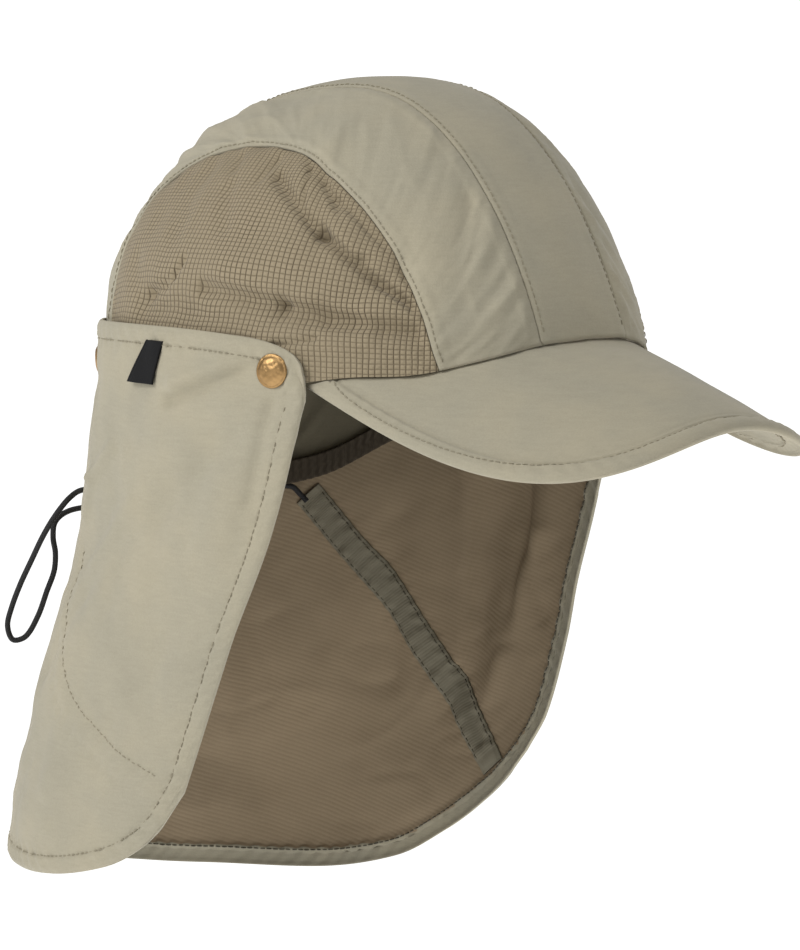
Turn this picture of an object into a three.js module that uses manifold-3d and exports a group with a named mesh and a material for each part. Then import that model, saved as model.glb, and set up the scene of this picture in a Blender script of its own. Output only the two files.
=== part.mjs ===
// Sun cap with a neck flap held by snaps, in millimetres.
// +Z is up, the peak points to -Y and the wearer's right is -X.
// The origin is the middle of the head opening, at the height of the rim over the temples.
import * as THREE from 'three';
import { mergeVertices } from 'three/addons/utils/BufferGeometryUtils.js';
import Module from 'manifold-3d';

// Crown
const CROWN_HALF_WIDTH = 82;
const CROWN_HALF_LENGTH = 101;
const CROWN_HEIGHT = 102.5;
const CROWN_BACKSET = 13.5; // how far the middle height sits back
const CROWN_LEAN = 25; // how far the top comes forward again
const FRONT_ROUNDNESS = 1.75; // exponents of the dome's profile, 2 is an ellipse
const SIDE_ROUNDNESS = 2.05;
const BACK_ROUNDNESS = 2.3;
const CROWN_CLOTH = 1.2;
const STRIP_HALF_WIDTH = 21;
const RIM_RISE = 18.8; // the rim at the forehead, above the temples
const RIM_DROP = 48; // the rim at the nape, below the temples
const REAR_TUCK = 5; // how far the elastic draws the rear rim in
const SEAM_GAP = 0.3;
const VENT_MIDDLE_AZIMUTH = 88;
const VENT_MIDDLE_SHARE = 0.3; // its height, as a share of CROWN_HEIGHT

// Peak
const PEAK_SIDE_INSET = 7.5; // how much narrower than the crown it is on each side
const PEAK_REACH = 60.5; // from the forehead seam to the tip, measured level
const PEAK_FALL = 0.407; // drop for each mm forward
const PEAK_ARCH = 40; // drop from the middle to the side edges
const PEAK_SQUARENESS = 3;
const PEAK_THICKNESS = 2.4;
const PEAK_ROOT_ANGLE = 62; // where the seam with the crown ends
const PEAK_CORNER_ANGLE = 68;
const PEAK_HEM_WIDTH = 7;
const PEAK_HEM_SWELL = 0.5;
const PEAK_EDGE_SHARE = 0.6; // the edge's thickness as a share of the board's
const PEAK_CLEARANCE = 0.45;

// Band inside the rear rim
const BAND_HEIGHT = 8;
const BAND_THICKNESS = 1.6;
const BAND_HALF_ANGLE = 70;
const BAND_CLEARANCE = 0.6;
const BAND_GATHERS = 14;
const BAND_GATHER_DEPTH = 0.5;

// Neck flap
const FLAP_CLOTH = 1.0;
const FLAP_HEM_WIDTH = 7;
const FLAP_HEM_SWELL = 0.5;
const FLAP_TOP = 26; // top edge over the ears
const FLAP_TOP_BACK = 11; // how much lower the top edge is at the back
const FLAP_FRONT_TOP = 2; // where the front edges begin
const FLAP_CORNER = 4; // exponent that rounds the top front corners
const FLAP_DROP = 180; // hem at the nape, below the temples
const FLAP_SWEEP = 44; // how far the hem stands back
const FLAP_SPLAY = 4; // how far the hem stands out
const FLAP_STANDOFF = 1.8; // space between crown and flap away from the snaps
const FLAP_SNAP_GAP = 0.45;
const FLAP_FREE_DROP = 30; // how far below the crown's rim folds may sink in fully
const FOLD_SOFTNESS = 0.35; // share of a fold's length over which it rises and dies away
const FLAP_SPAN = 113; // half angle that the flap's top spans about the head

// Fittings
const SNAP_DIAMETER = 11.4;
const SNAP_HEIGHT = 2.2;
const SNAP_GRIP = 0.7; // snap diameters around a snap within which the flap is held close
const SNAP_GAP = 0.45;
const LABEL_WIDTH = 9.5;
const LABEL_LENGTH = 14.5;
const LABEL_THICKNESS = 1;
const LABEL_GAP = 0.3;
const LABEL_ACROSS = 0.69; // place across the right half of the flap
const LABEL_HEM_SHARE = 0.7; // how far down the hem it is sewn in
const LABEL_FLARE = 1.6;
const LABEL_SKEW = 6.5; // how far its lower end trails back
const LABEL_STANDOFF = 1.2;
const CASING_WIDTH = 10;
const CASING_THICKNESS = 1;
const CASING_CLEARANCE = 0.8;
const CORD_DIAMETER = 2;
const SLIT_WIDTH = 12;
const SLIT_HEIGHT = 6;
const SLIT_BELOW = 50; // its middle, below the temples

// Mesh steps
const PANEL_STEPS = 8;
const VENT_ROWS = 6;
const SEAM_STEPS = 28;
const PEAK_STEPS = 26;
const BAND_STEPS = 28;
const FLAP_STEPS = 44;
const FLAP_ROWS = 20;
const CASING_STEPS = 16;
const CORD_STEPS = 78;
const CORD_SIDES = 8;
const SNAP_SIDES = 12;
const NARROW_STEPS = 2;
const LABEL_ROWS = 5;
const BAND_ROWS = 2;
const PEAK_ROWS = [0, 0.2, 0.4, 0.6, 0.76, 0.88, 0.95, 1]; // from the crown to the edge

// The rim by azimuth from the forehead: shares of RIM_RISE and of RIM_DROP
const RIM_ROWS = [
  { azimuth: 0, rise: 1.0, drop: 0.0 },
  { azimuth: 15, rise: 0.93, drop: 0.0 },
  { azimuth: 30, rise: 0.7, drop: 0.0 },
  { azimuth: 45, rise: 0.46, drop: 0.0 },
  { azimuth: 58, rise: 0.4, drop: 0.0 },
  { azimuth: 70, rise: 0.24, drop: 0.0 },
  { azimuth: 80, rise: 0.0, drop: 0.0 },
  { azimuth: 90, rise: 0.0, drop: 0.12 },
  { azimuth: 110, rise: 0.0, drop: 0.38 },
  { azimuth: 125, rise: 0.0, drop: 0.64 },
  { azimuth: 140, rise: 0.0, drop: 0.88 },
  { azimuth: 160, rise: 0.0, drop: 0.98 },
  { azimuth: 180, rise: 0.0, drop: 1.0 },
];

// The vent panel's seam from the peak over the ear to the rear rim:
// place along the seam, azimuth, height as a share of CROWN_HEIGHT, 0 where it meets the rim
const VENT_SEAM_ROWS = [
  { place: 0.0, azimuth: 39.5, height: 0.08 },
  { place: 0.1, azimuth: 42.8, height: 0.29 },
  { place: 0.2, azimuth: 49.0, height: 0.48 },
  { place: 0.3, azimuth: 60.5, height: 0.64 },
  { place: 0.4, azimuth: 78.0, height: 0.76 },
  { place: 0.5, azimuth: 99.0, height: 0.785 },
  { place: 0.6, azimuth: 119.0, height: 0.745 },
  { place: 0.7, azimuth: 133.5, height: 0.62 },
  { place: 0.8, azimuth: 134.5, height: 0.42 },
  { place: 0.9, azimuth: 129.0, height: 0.14 },
  { place: 1.0, azimuth: 126.0, height: -0.3 },
];

// Dents and tucks of the vent panels: both ends as azimuth and share of CROWN_HEIGHT,
// with depth and width in mm; a positive depth sinks in
const CROWN_DENTS = [
  { azimuth0: 45, height0: 0.42, azimuth1: 62, height1: 0.3, depth: 1.6, width: 5 },
  { azimuth0: 70, height0: 0.7, azimuth1: 66, height1: 0.5, depth: 1.3, width: 5 },
  { azimuth0: 58, height0: 0.24, azimuth1: 112, height1: 0.27, depth: 1.8, width: 5 },
  { azimuth0: 112, height0: 0.7, azimuth1: 108, height1: 0.52, depth: 1.2, width: 6 },
  { azimuth0: 122, height0: 0.4, azimuth1: 114, height1: 0.3, depth: 1.4, width: 5 },
  { azimuth0: 60, height0: 0.5, azimuth1: 88, height1: 0.4, depth: -1.2, width: 7 },
  { azimuth0: 27, height0: 0.62, azimuth1: 32, height1: 0.34, depth: 1.2, width: 7 },
];

// The flap's front edges: how far down, and shares of FLAP_SPAN on each side
const FLAP_EDGE_ROWS = [
  { down: 0.0, right: 1.0, left: 1.0 },
  { down: 0.2, right: 0.98, left: 0.98 },
  { down: 0.35, right: 0.963, left: 0.966 },
  { down: 0.5, right: 0.947, left: 0.96 },
  { down: 0.7, right: 0.925, left: 0.958 },
  { down: 0.9, right: 0.914, left: 0.95 },
  { down: 1.0, right: 0.912, left: 0.925 },
];

// The flap's hem: place across (-1 right edge, 0 nape, 1 left edge), drop as a share of FLAP_DROP
const FLAP_HEM_ROWS = [
  { across: -1.0, drop: 0.745 },
  { across: -0.97, drop: 0.82 },
  { across: -0.92, drop: 0.87 },
  { across: -0.85, drop: 0.905 },
  { across: -0.72, drop: 0.935 },
  { across: -0.5, drop: 0.948 },
  { across: -0.3, drop: 0.945 },
  { across: 0.0, drop: 1.01 },
  { across: 0.3, drop: 1.045 },
  { across: 0.55, drop: 1.055 },
  { across: 0.72, drop: 1.018 },
  { across: 0.82, drop: 0.955 },
  { across: 0.9, drop: 0.893 },
  { across: 0.96, drop: 0.835 },
  { across: 1.0, drop: 0.77 },
];

// How far the flap stands back: heights as shares of FLAP_DROP, sweep as shares of FLAP_SWEEP
const FLAP_SWEEP_ROWS = [
  { low: 0.0, sweep: 0.0 },
  { low: 0.25, sweep: 0.13 },
  { low: 0.43, sweep: 0.34 },
  { low: 0.53, sweep: 0.44 },
  { low: 0.67, sweep: 0.62 },
  { low: 0.83, sweep: 0.86 },
  { low: 0.95, sweep: 0.93 },
  { low: 1.05, sweep: 1.0 },
];

// Soft folds of the flap: place across (-1 right edge, 0 nape, 1 left edge) and its drift down the
// cloth, the rows from and to as shares of the height, width across, depth in mm, outward positive
const FLAP_FOLDS = [
  { across: -0.9, drift: 0.06, from: 0.1, to: 0.62, width: 0.05, depth: 1.6 },
  { across: -0.74, drift: 0.1, from: 0.16, to: 0.5, width: 0.07, depth: -1.8 },
  { across: -0.52, drift: 0.05, from: 0.22, to: 0.5, width: 0.13, depth: -3.4 },
  { across: -0.5, drift: 0.08, from: 0.45, to: 0.8, width: 0.16, depth: 2.6 },
  { across: -0.66, drift: -0.04, from: 0.7, to: 1.1, width: 0.1, depth: 2.2 },
  { across: -0.2, drift: 0.04, from: 0.3, to: 1.2, width: 0.09, depth: -3.2 },
  { across: 0.02, drift: 0.0, from: 0.4, to: 1.2, width: 0.1, depth: 2.8 },
  { across: 0.2, drift: 0.08, from: 0.3, to: 1.1, width: 0.08, depth: -4.0 },
  { across: 0.46, drift: 0.02, from: 0.35, to: 1.1, width: 0.12, depth: 3.0 },
  { across: 0.74, drift: 0.02, from: 0.2, to: 0.9, width: 0.07, depth: 3.6 },
  { across: 0.86, drift: 0.0, from: 0.15, to: 0.85, width: 0.06, depth: -3.4 },
];

// Snap places: across as in FLAP_FOLDS, and mm below the flap's top edge
const SNAP_ROWS = [
  { place: 'front', across: 0.947, below: 8.5 },
  { place: 'back', across: 0.335, below: 14 },
];

// A snap cap's outline from the middle of its back to its top: shares of half SNAP_DIAMETER
// and of SNAP_HEIGHT
const SNAP_PROFILE = [
  { radius: 0.0, height: 0.0 },
  { radius: 0.92, height: 0.0 },
  { radius: 1.0, height: 0.22 },
  { radius: 0.94, height: 0.5 },
  { radius: 0.66, height: 0.82 },
  { radius: 0.0, height: 1.0 },
];

// Casing centre lines inside the flap, from the front hem to the nape:
// degrees about the head from the nape, and mm below the temples
const CASING_RIGHT_ROWS = [
  { share: 0.0, angle: 96, below: 131 },
  { share: 0.2, angle: 87, below: 127 },
  { share: 0.4, angle: 76, below: 119 },
  { share: 0.6, angle: 65, below: 109 },
  { share: 0.8, angle: 52, below: 88 },
  { share: 1.0, angle: 43, below: 62 },
];
const CASING_LEFT_ROWS = [
  { share: 0.0, angle: 94, below: 143 },
  { share: 0.2, angle: 83, below: 124 },
  { share: 0.4, angle: 71, below: 103 },
  { share: 0.6, angle: 61, below: 83 },
  { share: 0.8, angle: 49.5, below: 65 },
  { share: 1.0, angle: 40.5, below: 50.5 },
];

// Drawcord: hand-chosen points from the right casing through the slit at the nape,
// out as a hanging loop, and back through the slit to the left casing
const CORD_ROUTE = [
  [-54.0, 80.5, -58.0],
  [-46.0, 87.5, -55.0],
  [-32.0, 96.5, -52.0],
  [-20.0, 101.5, -50.5],
  [-12.0, 103.8, -50.2],
  [-6.0, 105.6, -50.0],
  [-3.0, 109.0, -50.0],
  [-4.0, 113.0, -49.2],
  [-9.0, 115.2, -47.6],
  [-20.0, 113.8, -45.4],
  [-34.2, 109.5, -43.9],
  [-45.3, 104.8, -45.8],
  [-48.7, 108.0, -51.7],
  [-48.8, 114.0, -59.2],
  [-47.5, 121.0, -67.9],
  [-46.3, 128.5, -77.8],
  [-45.5, 134.0, -86.9],
  [-44.9, 136.5, -93.2],
  [-42.8, 136.0, -98.2],
  [-39.9, 132.6, -97.0],
  [-38.7, 127.5, -89.4],
  [-39.5, 122.0, -80.0],
  [-39.6, 118.2, -72.6],
  [-41.2, 115.8, -65.9],
  [-43.2, 114.8, -60.3],
  [-42.0, 115.2, -55.2],
  [-36.0, 116.2, -52.2],
  [-25.6, 118.0, -51.4],
  [-12.0, 119.0, -52.2],
  [-3.0, 117.0, -52.0],
  [2.2, 113.4, -51.5],
  [3.8, 109.0, -51.0],
  [8.0, 105.6, -50.5],
  [14.0, 103.4, -50.0],
  [26.0, 99.0, -49.5],
  [40.0, 92.5, -48.0],
  [48.3, 88.0, -47.4],
  [51.6, 86.4, -50.4],
  [53.2, 84.6, -53.0],
];

// Finishes: colour, roughness, metalness
const CLOTH_SAGE = { color: 0xaca68f, roughness: 0.85, metalness: 0 };
const CLOTH_CHECK = { color: 0xa69a80, roughness: 0.9, metalness: 0 };
const CLOTH_FLAP = { color: 0xb9b298, roughness: 0.85, metalness: 0 };
const CLOTH_SHADE = { color: 0x6f7264, roughness: 0.9, metalness: 0 };
const BRASS = { color: 0xbe9150, roughness: 0.35, metalness: 1 };
const BLACK = { color: 0x161616, roughness: 0.7, metalness: 0 };

const HALF = 0.5;
const MERGE_DISTANCE = 1e-3;
const SEEK_ROUNDS = 30; // rounds in which a place on a curved face is closed in on
const SLOPE_STEP = 0.002; // share of a face over which its slope is taken
const CASING_SLOPE_STEP = 0.02;
const SIDES = [{ name: 'right', sign: -1 }, { name: 'left', sign: 1 }];

const group = new THREE.Group();

function radians(degrees) {
  return THREE.MathUtils.degToRad(degrees);
}

function mix(a, b, share) {
  return a + (b - a) * share;
}

function rise(from, to, x) {
  return THREE.MathUtils.smoothstep(x, from, to);
}

// A smooth curve through one column of a table, by its first column
function readTable(rows, key, column, x) {
  const last = rows.length - 1;
  const at = THREE.MathUtils.clamp(x, rows[0][key], rows[last][key]);
  let i = 0;
  while (i < last - 1 && rows[i + 1][key] < at) i += 1;
  const slope = (k) => {
    const low = rows[Math.max(k - 1, 0)];
    const high = rows[Math.min(k + 1, last)];
    return (high[column] - low[column]) / (high[key] - low[key]);
  };
  const width = rows[i + 1][key] - rows[i][key];
  const t = (at - rows[i][key]) / width;
  const t2 = t * t;
  const t3 = t2 * t;
  return (2 * t3 - 3 * t2 + 1) * rows[i][column] + (t3 - 2 * t2 + t) * width * slope(i)
    + (3 * t2 - 2 * t3) * rows[i + 1][column] + (t3 - t2) * width * slope(i + 1);
}

function rimHeight(azimuth) {
  const at = Math.abs(azimuth);
  return RIM_RISE * readTable(RIM_ROWS, 'azimuth', 'rise', at)
    - RIM_DROP * readTable(RIM_ROWS, 'azimuth', 'drop', at);
}

// The dome's exponent for a share of frontness from -1 at the nape to 1 at the forehead
function roundness(frontness) {
  const end = frontness > 0 ? FRONT_ROUNDNESS : BACK_ROUNDNESS;
  return mix(SIDE_ROUNDNESS, end, frontness * frontness);
}

function crownShift(height) {
  const share = THREE.MathUtils.clamp(height / CROWN_HEIGHT, 0, 1);
  return CROWN_BACKSET * share - CROWN_LEAN * share * share;
}

// The plan's scale at a height: the dome closes over the rim, and the elastic draws the nape in
function crownScale(frontness, height) {
  if (height > 0) {
    const n = roundness(frontness);
    return Math.pow(Math.max(1 - Math.pow(height / CROWN_HEIGHT, n), 0), 1 / n);
  }
  const nape = Math.max(-frontness, 0);
  const low = Math.min(-height / RIM_DROP, 1);
  return 1 - (REAR_TUCK / CROWN_HALF_LENGTH) * nape * low * low;
}

// A point of the crown before its lean, by azimuth (positive to the left) and height
function crownPlain(azimuth, height) {
  const a = radians(azimuth);
  const scale = crownScale(Math.cos(a), height);
  return new THREE.Vector3(
    CROWN_HALF_WIDTH * Math.sin(a) * scale,
    -CROWN_HALF_LENGTH * Math.cos(a) * scale,
    height,
  );
}

// How deep a dent is at an azimuth and height: a rounded trough along each row's line
function dentDepth(azimuth, height) {
  const side = Math.abs(azimuth);
  const arc = radians(1) * CROWN_HALF_LENGTH;
  let depth = 0;
  for (const row of CROWN_DENTS) {
    const start = new THREE.Vector2(row.azimuth0 * arc, row.height0 * CROWN_HEIGHT);
    const line = new THREE.Vector2(row.azimuth1 * arc, row.height1 * CROWN_HEIGHT).sub(start);
    const point = new THREE.Vector2(side * arc, height).sub(start);
    const along = THREE.MathUtils.clamp(point.dot(line) / line.lengthSq(), 0, 1);
    const away = point.sub(line.multiplyScalar(along)).length() / row.width;
    depth += row.depth * Math.exp(-away * away);
  }
  return depth;
}

// Pushes a point out from the origin onto the crown, and leans it
function ontoCrown(point) {
  const x = point.x / CROWN_HALF_WIDTH;
  const y = point.y / CROWN_HALF_LENGTH;
  const level = Math.hypot(x, y);
  const frontness = level > 0 ? -y / level : 0;
  const azimuth = THREE.MathUtils.radToDeg(Math.atan2(x, -y));
  const onto = point.clone();
  if (point.z > 0) {
    const n = roundness(frontness);
    const reach = Math.pow(Math.pow(level, n) + Math.pow(point.z / CROWN_HEIGHT, n), 1 / n);
    onto.multiplyScalar(1 / reach);
  } else {
    onto.multiplyScalar(crownScale(frontness, point.z) / level);
  }
  const sink = dentDepth(azimuth, onto.z);
  onto.multiplyScalar(1 - sink / onto.length());
  onto.y += crownShift(onto.z);
  return onto;
}

// The point where the rim lies at an azimuth
function rimPoint(azimuth) {
  return crownPlain(azimuth, rimHeight(azimuth));
}

// The azimuth at which the rim is a given distance from the middle plane
function rimAzimuthAt(x, rear) {
  const turn = THREE.MathUtils.radToDeg(Math.asin(x / CROWN_HALF_WIDTH));
  return rear ? 180 - turn : turn;
}

// The strip's seam at a distance x from the middle plane, from the forehead to the nape
function stripSeam(x, share) {
  const front = rimPoint(rimAzimuthAt(x, false));
  const back = rimPoint(rimAzimuthAt(x, true));
  const start = Math.atan2(front.z / CROWN_HEIGHT, -front.y / CROWN_HALF_LENGTH);
  const end = Math.atan2(back.z / CROWN_HEIGHT, -back.y / CROWN_HALF_LENGTH) + 2 * Math.PI;
  const turn = mix(start, end, share);
  const point = new THREE.Vector3(
    0,
    -CROWN_HALF_LENGTH * Math.cos(turn),
    CROWN_HEIGHT * Math.sin(turn),
  );
  if (share === 0) return front;
  if (share === 1) return back;
  const frontness = Math.cos(turn) / Math.hypot(x / CROWN_HALF_WIDTH, Math.cos(turn));
  const n = roundness(frontness);
  const across = x / CROWN_HALF_WIDTH;
  // closes in on the distance out at which the dome is x wide
  let reach = 1;
  for (let round = 0; round < SEEK_ROUNDS; round += 1) {
    const level = Math.hypot(across, reach * Math.cos(turn));
    const size = point.z > 0
      ? Math.pow(Math.pow(level, n) + Math.pow(reach * Math.sin(turn), n), 1 / n)
      : level;
    reach += (1 - size) * HALF;
  }
  return new THREE.Vector3(x, point.y * reach, point.z > 0 ? point.z * reach : point.z);
}

// The vent seam, from its foot on the peak to its foot on the rear rim, on the left side
function ventSeam(share) {
  const azimuth = readTable(VENT_SEAM_ROWS, 'place', 'azimuth', share);
  if (share === 0 || share === 1) return rimPoint(azimuth);
  const height = CROWN_HEIGHT * readTable(VENT_SEAM_ROWS, 'place', 'height', share);
  return crownPlain(azimuth, height);
}

// The middle of the vent panel, which its edges draw towards
const VENT_MIDDLE = crownPlain(VENT_MIDDLE_AZIMUTH, VENT_MIDDLE_SHARE * CROWN_HEIGHT);

// Moves a seam point towards the vent's middle, or away from it
function insetVent(point, distance) {
  const step = VENT_MIDDLE.clone().sub(point).setLength(distance);
  return point.clone().add(step);
}

// A patch between four edge curves: bottom and top run with u, left and right with v
function coons(bottom, top, left, right) {
  return (u, v) => {
    const point = new THREE.Vector3();
    const add = (p, weight) => point.addScaledVector(p, weight);
    add(bottom(u), 1 - v);
    add(top(u), v);
    add(left(v), 1 - u);
    add(right(v), u);
    add(bottom(0), -(1 - u) * (1 - v));
    add(bottom(1), -u * (1 - v));
    add(top(0), -(1 - u) * v);
    add(top(1), -u * v);
    return point;
  };
}

function mirror(point, sign) {
  return new THREE.Vector3(point.x * sign, point.y, point.z);
}

// The crown's outward direction where a point is pushed onto it
function crownNormal(point) {
  const side = new THREE.Vector3(0, 0, 1).cross(point).setLength(1);
  const over = point.clone().cross(side).setLength(1);
  const middle = ontoCrown(point);
  const aside = ontoCrown(point.clone().add(side)).sub(middle);
  const above = ontoCrown(point.clone().add(over)).sub(middle);
  const normal = aside.cross(above).normalize();
  return normal.multiplyScalar(Math.sign(normal.dot(middle)));
}

// Points of a surface on a grid
function gridOf(surface, across, along) {
  const points = [];
  for (let i = 0; i <= across; i += 1) {
    const row = [];
    for (let j = 0; j <= along; j += 1) row.push(surface(i / across, j / along));
    points.push(row);
  }
  return points;
}

// The directions square to a grid of points, turned over where side is -1
function gridNormals(points, side) {
  return points.map((row, i) => row.map((point, j) => {
    const down = points[Math.max(i - 1, 0)][j];
    const up = points[Math.min(i + 1, points.length - 1)][j];
    const back = row[Math.max(j - 1, 0)];
    const forth = row[Math.min(j + 1, row.length - 1)];
    return up.clone().sub(down).cross(forth.clone().sub(back)).setLength(side);
  }));
}

// A closed mesh from corner points and triangles, turned so that its faces point out
function closedGeometry(corners, faces) {
  let volume = 0;
  for (const [a, b, c] of faces) {
    volume += corners[a].dot(corners[b].clone().cross(corners[c]));
  }
  const turned = volume < 0 ? faces.map(([a, b, c]) => [a, c, b]) : faces;
  const geometry = new THREE.BufferGeometry();
  const positions = corners.flatMap((p) => [p.x, p.y, p.z]);
  geometry.setAttribute('position', new THREE.Float32BufferAttribute(positions, 3));
  geometry.setIndex(turned.flat());
  // a panel's pointed ends fold a row of corners into one, and leave faces without area
  const merged = mergeVertices(geometry, MERGE_DISTANCE);
  const index = merged.index.array;
  const kept = [];
  for (let k = 0; k < index.length; k += 3) {
    const [a, b, c] = [index[k], index[k + 1], index[k + 2]];
    if (a !== b && b !== c && c !== a) kept.push(a, b, c);
  }
  merged.setIndex(kept);
  return merged;
}

// A wall with the grid of points as its outer face; thickness is a function of u and v
function wall(points, normals, thickness) {
  const across = points.length - 1;
  const along = points[0].length - 1;
  const rows = along + 1;
  const layer = (across + 1) * rows;
  const corners = points.flat();
  points.forEach((row, i) => row.forEach((point, j) => {
    const depth = thickness(i / across, j / along);
    corners.push(point.clone().addScaledVector(normals[i][j], -depth));
  }));
  const faces = [];
  const quad = (a, b, c, d) => faces.push([a, b, c], [a, c, d]);
  for (let i = 0; i < across; i += 1) {
    for (let j = 0; j < along; j += 1) {
      const a = i * rows + j;
      quad(a, a + rows, a + rows + 1, a + 1);
      quad(layer + a, layer + a + 1, layer + a + rows + 1, layer + a + rows);
    }
    const end = i * rows + along;
    quad(i * rows, layer + i * rows, layer + (i + 1) * rows, (i + 1) * rows);
    quad(end, end + rows, layer + end + rows, layer + end);
  }
  for (let j = 0; j < along; j += 1) {
    const end = across * rows + j;
    quad(j, j + 1, layer + j + 1, layer + j);
    quad(end, layer + end, layer + end + 1, end + 1);
  }
  return closedGeometry(corners, faces);
}

function shell(surface, across, along, thickness, side) {
  const points = gridOf(surface, across, along);
  return wall(points, gridNormals(points, side), thickness);
}

// A crown panel: a patch pushed onto the crown, on the side of the sign
function crownPanel(patch, across, along, sign) {
  const points = gridOf((u, v) => mirror(ontoCrown(patch(u, v)), sign), across, along);
  const normals = gridOf((u, v) => mirror(crownNormal(patch(u, v)), sign), across, along);
  return wall(points, normals, () => CROWN_CLOTH);
}

function addPiece(name, geometry, finish) {
  const mesh = new THREE.Mesh(geometry, new THREE.MeshStandardMaterial(finish));
  mesh.name = name;
  group.add(mesh);
  return mesh;
}

// Crown centre strip
const stripEdge = STRIP_HALF_WIDTH - SEAM_GAP * HALF;
const stripRim = (rear) => (u) => {
  const x = mix(-stripEdge, stripEdge, u);
  return rimPoint(rimAzimuthAt(x, rear));
};
const stripPatch = coons(
  stripRim(false),
  stripRim(true),
  (v) => stripSeam(-stripEdge, v),
  (v) => stripSeam(stripEdge, v),
);
addPiece('crown_centre_strip', crownPanel(stripPatch, PANEL_STEPS, SEAM_STEPS, 1), CLOTH_SAGE);

// Crown side panels, between the strip's seam and the vent's seam
const panelEdge = STRIP_HALF_WIDTH + SEAM_GAP * HALF;
const ventFoot = { front: VENT_SEAM_ROWS[0].azimuth, rear: VENT_SEAM_ROWS.at(-1).azimuth };
const footGap = THREE.MathUtils.radToDeg(SEAM_GAP * HALF / CROWN_HALF_LENGTH);
const panelVentEdge = (v) => {
  if (v === 0) return rimPoint(ventFoot.front - footGap);
  if (v === 1) return rimPoint(ventFoot.rear + footGap);
  return insetVent(ventSeam(v), -SEAM_GAP * HALF);
};
const panelPatch = coons(
  (u) => rimPoint(mix(rimAzimuthAt(panelEdge, false), ventFoot.front - footGap, u)),
  (u) => rimPoint(mix(rimAzimuthAt(panelEdge, true), ventFoot.rear + footGap, u)),
  (v) => stripSeam(panelEdge, v),
  panelVentEdge,
);

// Vent panels, between the vent's seam and the rim, pointed where the two meet
const ventEdge = (share) => {
  if (share === 0) return rimPoint(ventFoot.front + footGap);
  if (share === 1) return rimPoint(ventFoot.rear - footGap);
  return insetVent(ventSeam(share), SEAM_GAP * HALF);
};
const ventPatch = (u, v) => {
  const rim = rimPoint(mix(ventFoot.front + footGap, ventFoot.rear - footGap, u));
  return ventEdge(u).lerp(rim, v);
};
for (const { name, sign } of SIDES) {
  const panel = crownPanel(panelPatch, PANEL_STEPS, SEAM_STEPS, sign);
  const vent = crownPanel(ventPatch, SEAM_STEPS, VENT_ROWS, sign);
  addPiece(`crown_side_panel_${name}`, panel, CLOTH_SAGE);
  addPiece(`vent_panel_${name}`, vent, CLOTH_CHECK);
}

// Peak: an arched board whose height falls forward and to the sides
const peakHalfWidth = CROWN_HALF_WIDTH - PEAK_SIDE_INSET;
function peakHeight(x, y) {
  const across = x / peakHalfWidth;
  return RIM_RISE - PEAK_ARCH * across * across + PEAK_FALL * (y + CROWN_HALF_LENGTH);
}
const peakCorner = rimPoint(PEAK_CORNER_ANGLE);
const peakFront = CROWN_HALF_LENGTH + PEAK_REACH;
function peakOuter(s) {
  const turn = s * Math.PI * HALF;
  const power = 2 / PEAK_SQUARENESS;
  const side = Math.sign(s) * Math.pow(Math.abs(Math.sin(turn)), power);
  const ahead = Math.pow(Math.max(Math.cos(turn), 0), power);
  const x = peakHalfWidth * side;
  const y = mix(peakCorner.y, -peakFront, ahead);
  return new THREE.Vector3(x, y, peakHeight(x, y));
}
function peakInner(s) {
  const azimuth = s * PEAK_ROOT_ANGLE;
  const rim = ontoCrown(rimPoint(azimuth));
  const level = Math.hypot(rim.x, rim.y);
  const inward = 1 - CROWN_CLOTH / level;
  return new THREE.Vector3(rim.x * inward, rim.y * inward, rimHeight(azimuth) - PEAK_CLEARANCE);
}
function peakSurface(u, v) {
  const s = mix(-1, 1, u);
  const inner = peakInner(s);
  const outer = peakOuter(s);
  const point = inner.clone().lerp(outer, v);
  const lift = inner.z - peakHeight(inner.x, inner.y);
  point.z = peakHeight(point.x, point.y) + lift * (1 - v) * (1 - v);
  return point;
}
function peakThickness(u, v) {
  const row = PEAK_ROWS[Math.round(v * (PEAK_ROWS.length - 1))];
  const width = peakOuter(mix(-1, 1, u)).distanceTo(peakInner(mix(-1, 1, u)));
  const fromEdge = (1 - row) * width;
  const offset = fromEdge / (PEAK_HEM_WIDTH * HALF) - 1;
  const swell = Math.exp(-offset * offset);
  const rounding = v === 1 ? PEAK_EDGE_SHARE : 1;
  return (PEAK_THICKNESS + PEAK_HEM_SWELL * swell) * rounding;
}
const peakRows = PEAK_ROWS.length - 1;
const peakGrid = (u, v) => peakSurface(u, PEAK_ROWS[Math.round(v * peakRows)]);
addPiece('peak', shell(peakGrid, PEAK_STEPS, peakRows, peakThickness, -1), CLOTH_SAGE);

// Gathered elastic band inside the rear rim
function bandSurface(u, v) {
  const azimuth = 180 + mix(-BAND_HALF_ANGLE, BAND_HALF_ANGLE, u);
  const signed = azimuth > 180 ? azimuth - 360 : azimuth;
  const bottom = rimHeight(signed);
  const point = crownPlain(signed, bottom + v * BAND_HEIGHT);
  const wave = Math.cos(u * BAND_GATHERS * Math.PI) * BAND_GATHER_DEPTH * (1 - v);
  const inset = CROWN_CLOTH + BAND_CLEARANCE + BAND_GATHER_DEPTH + wave;
  const level = Math.hypot(point.x, point.y);
  point.x *= 1 - inset / level;
  point.y *= 1 - inset / level;
  point.y += crownShift(point.z);
  return point;
}
addPiece('back_band', shell(bandSurface, BAND_STEPS, BAND_ROWS, () => BAND_THICKNESS, 1), CLOTH_SHADE);

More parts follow.
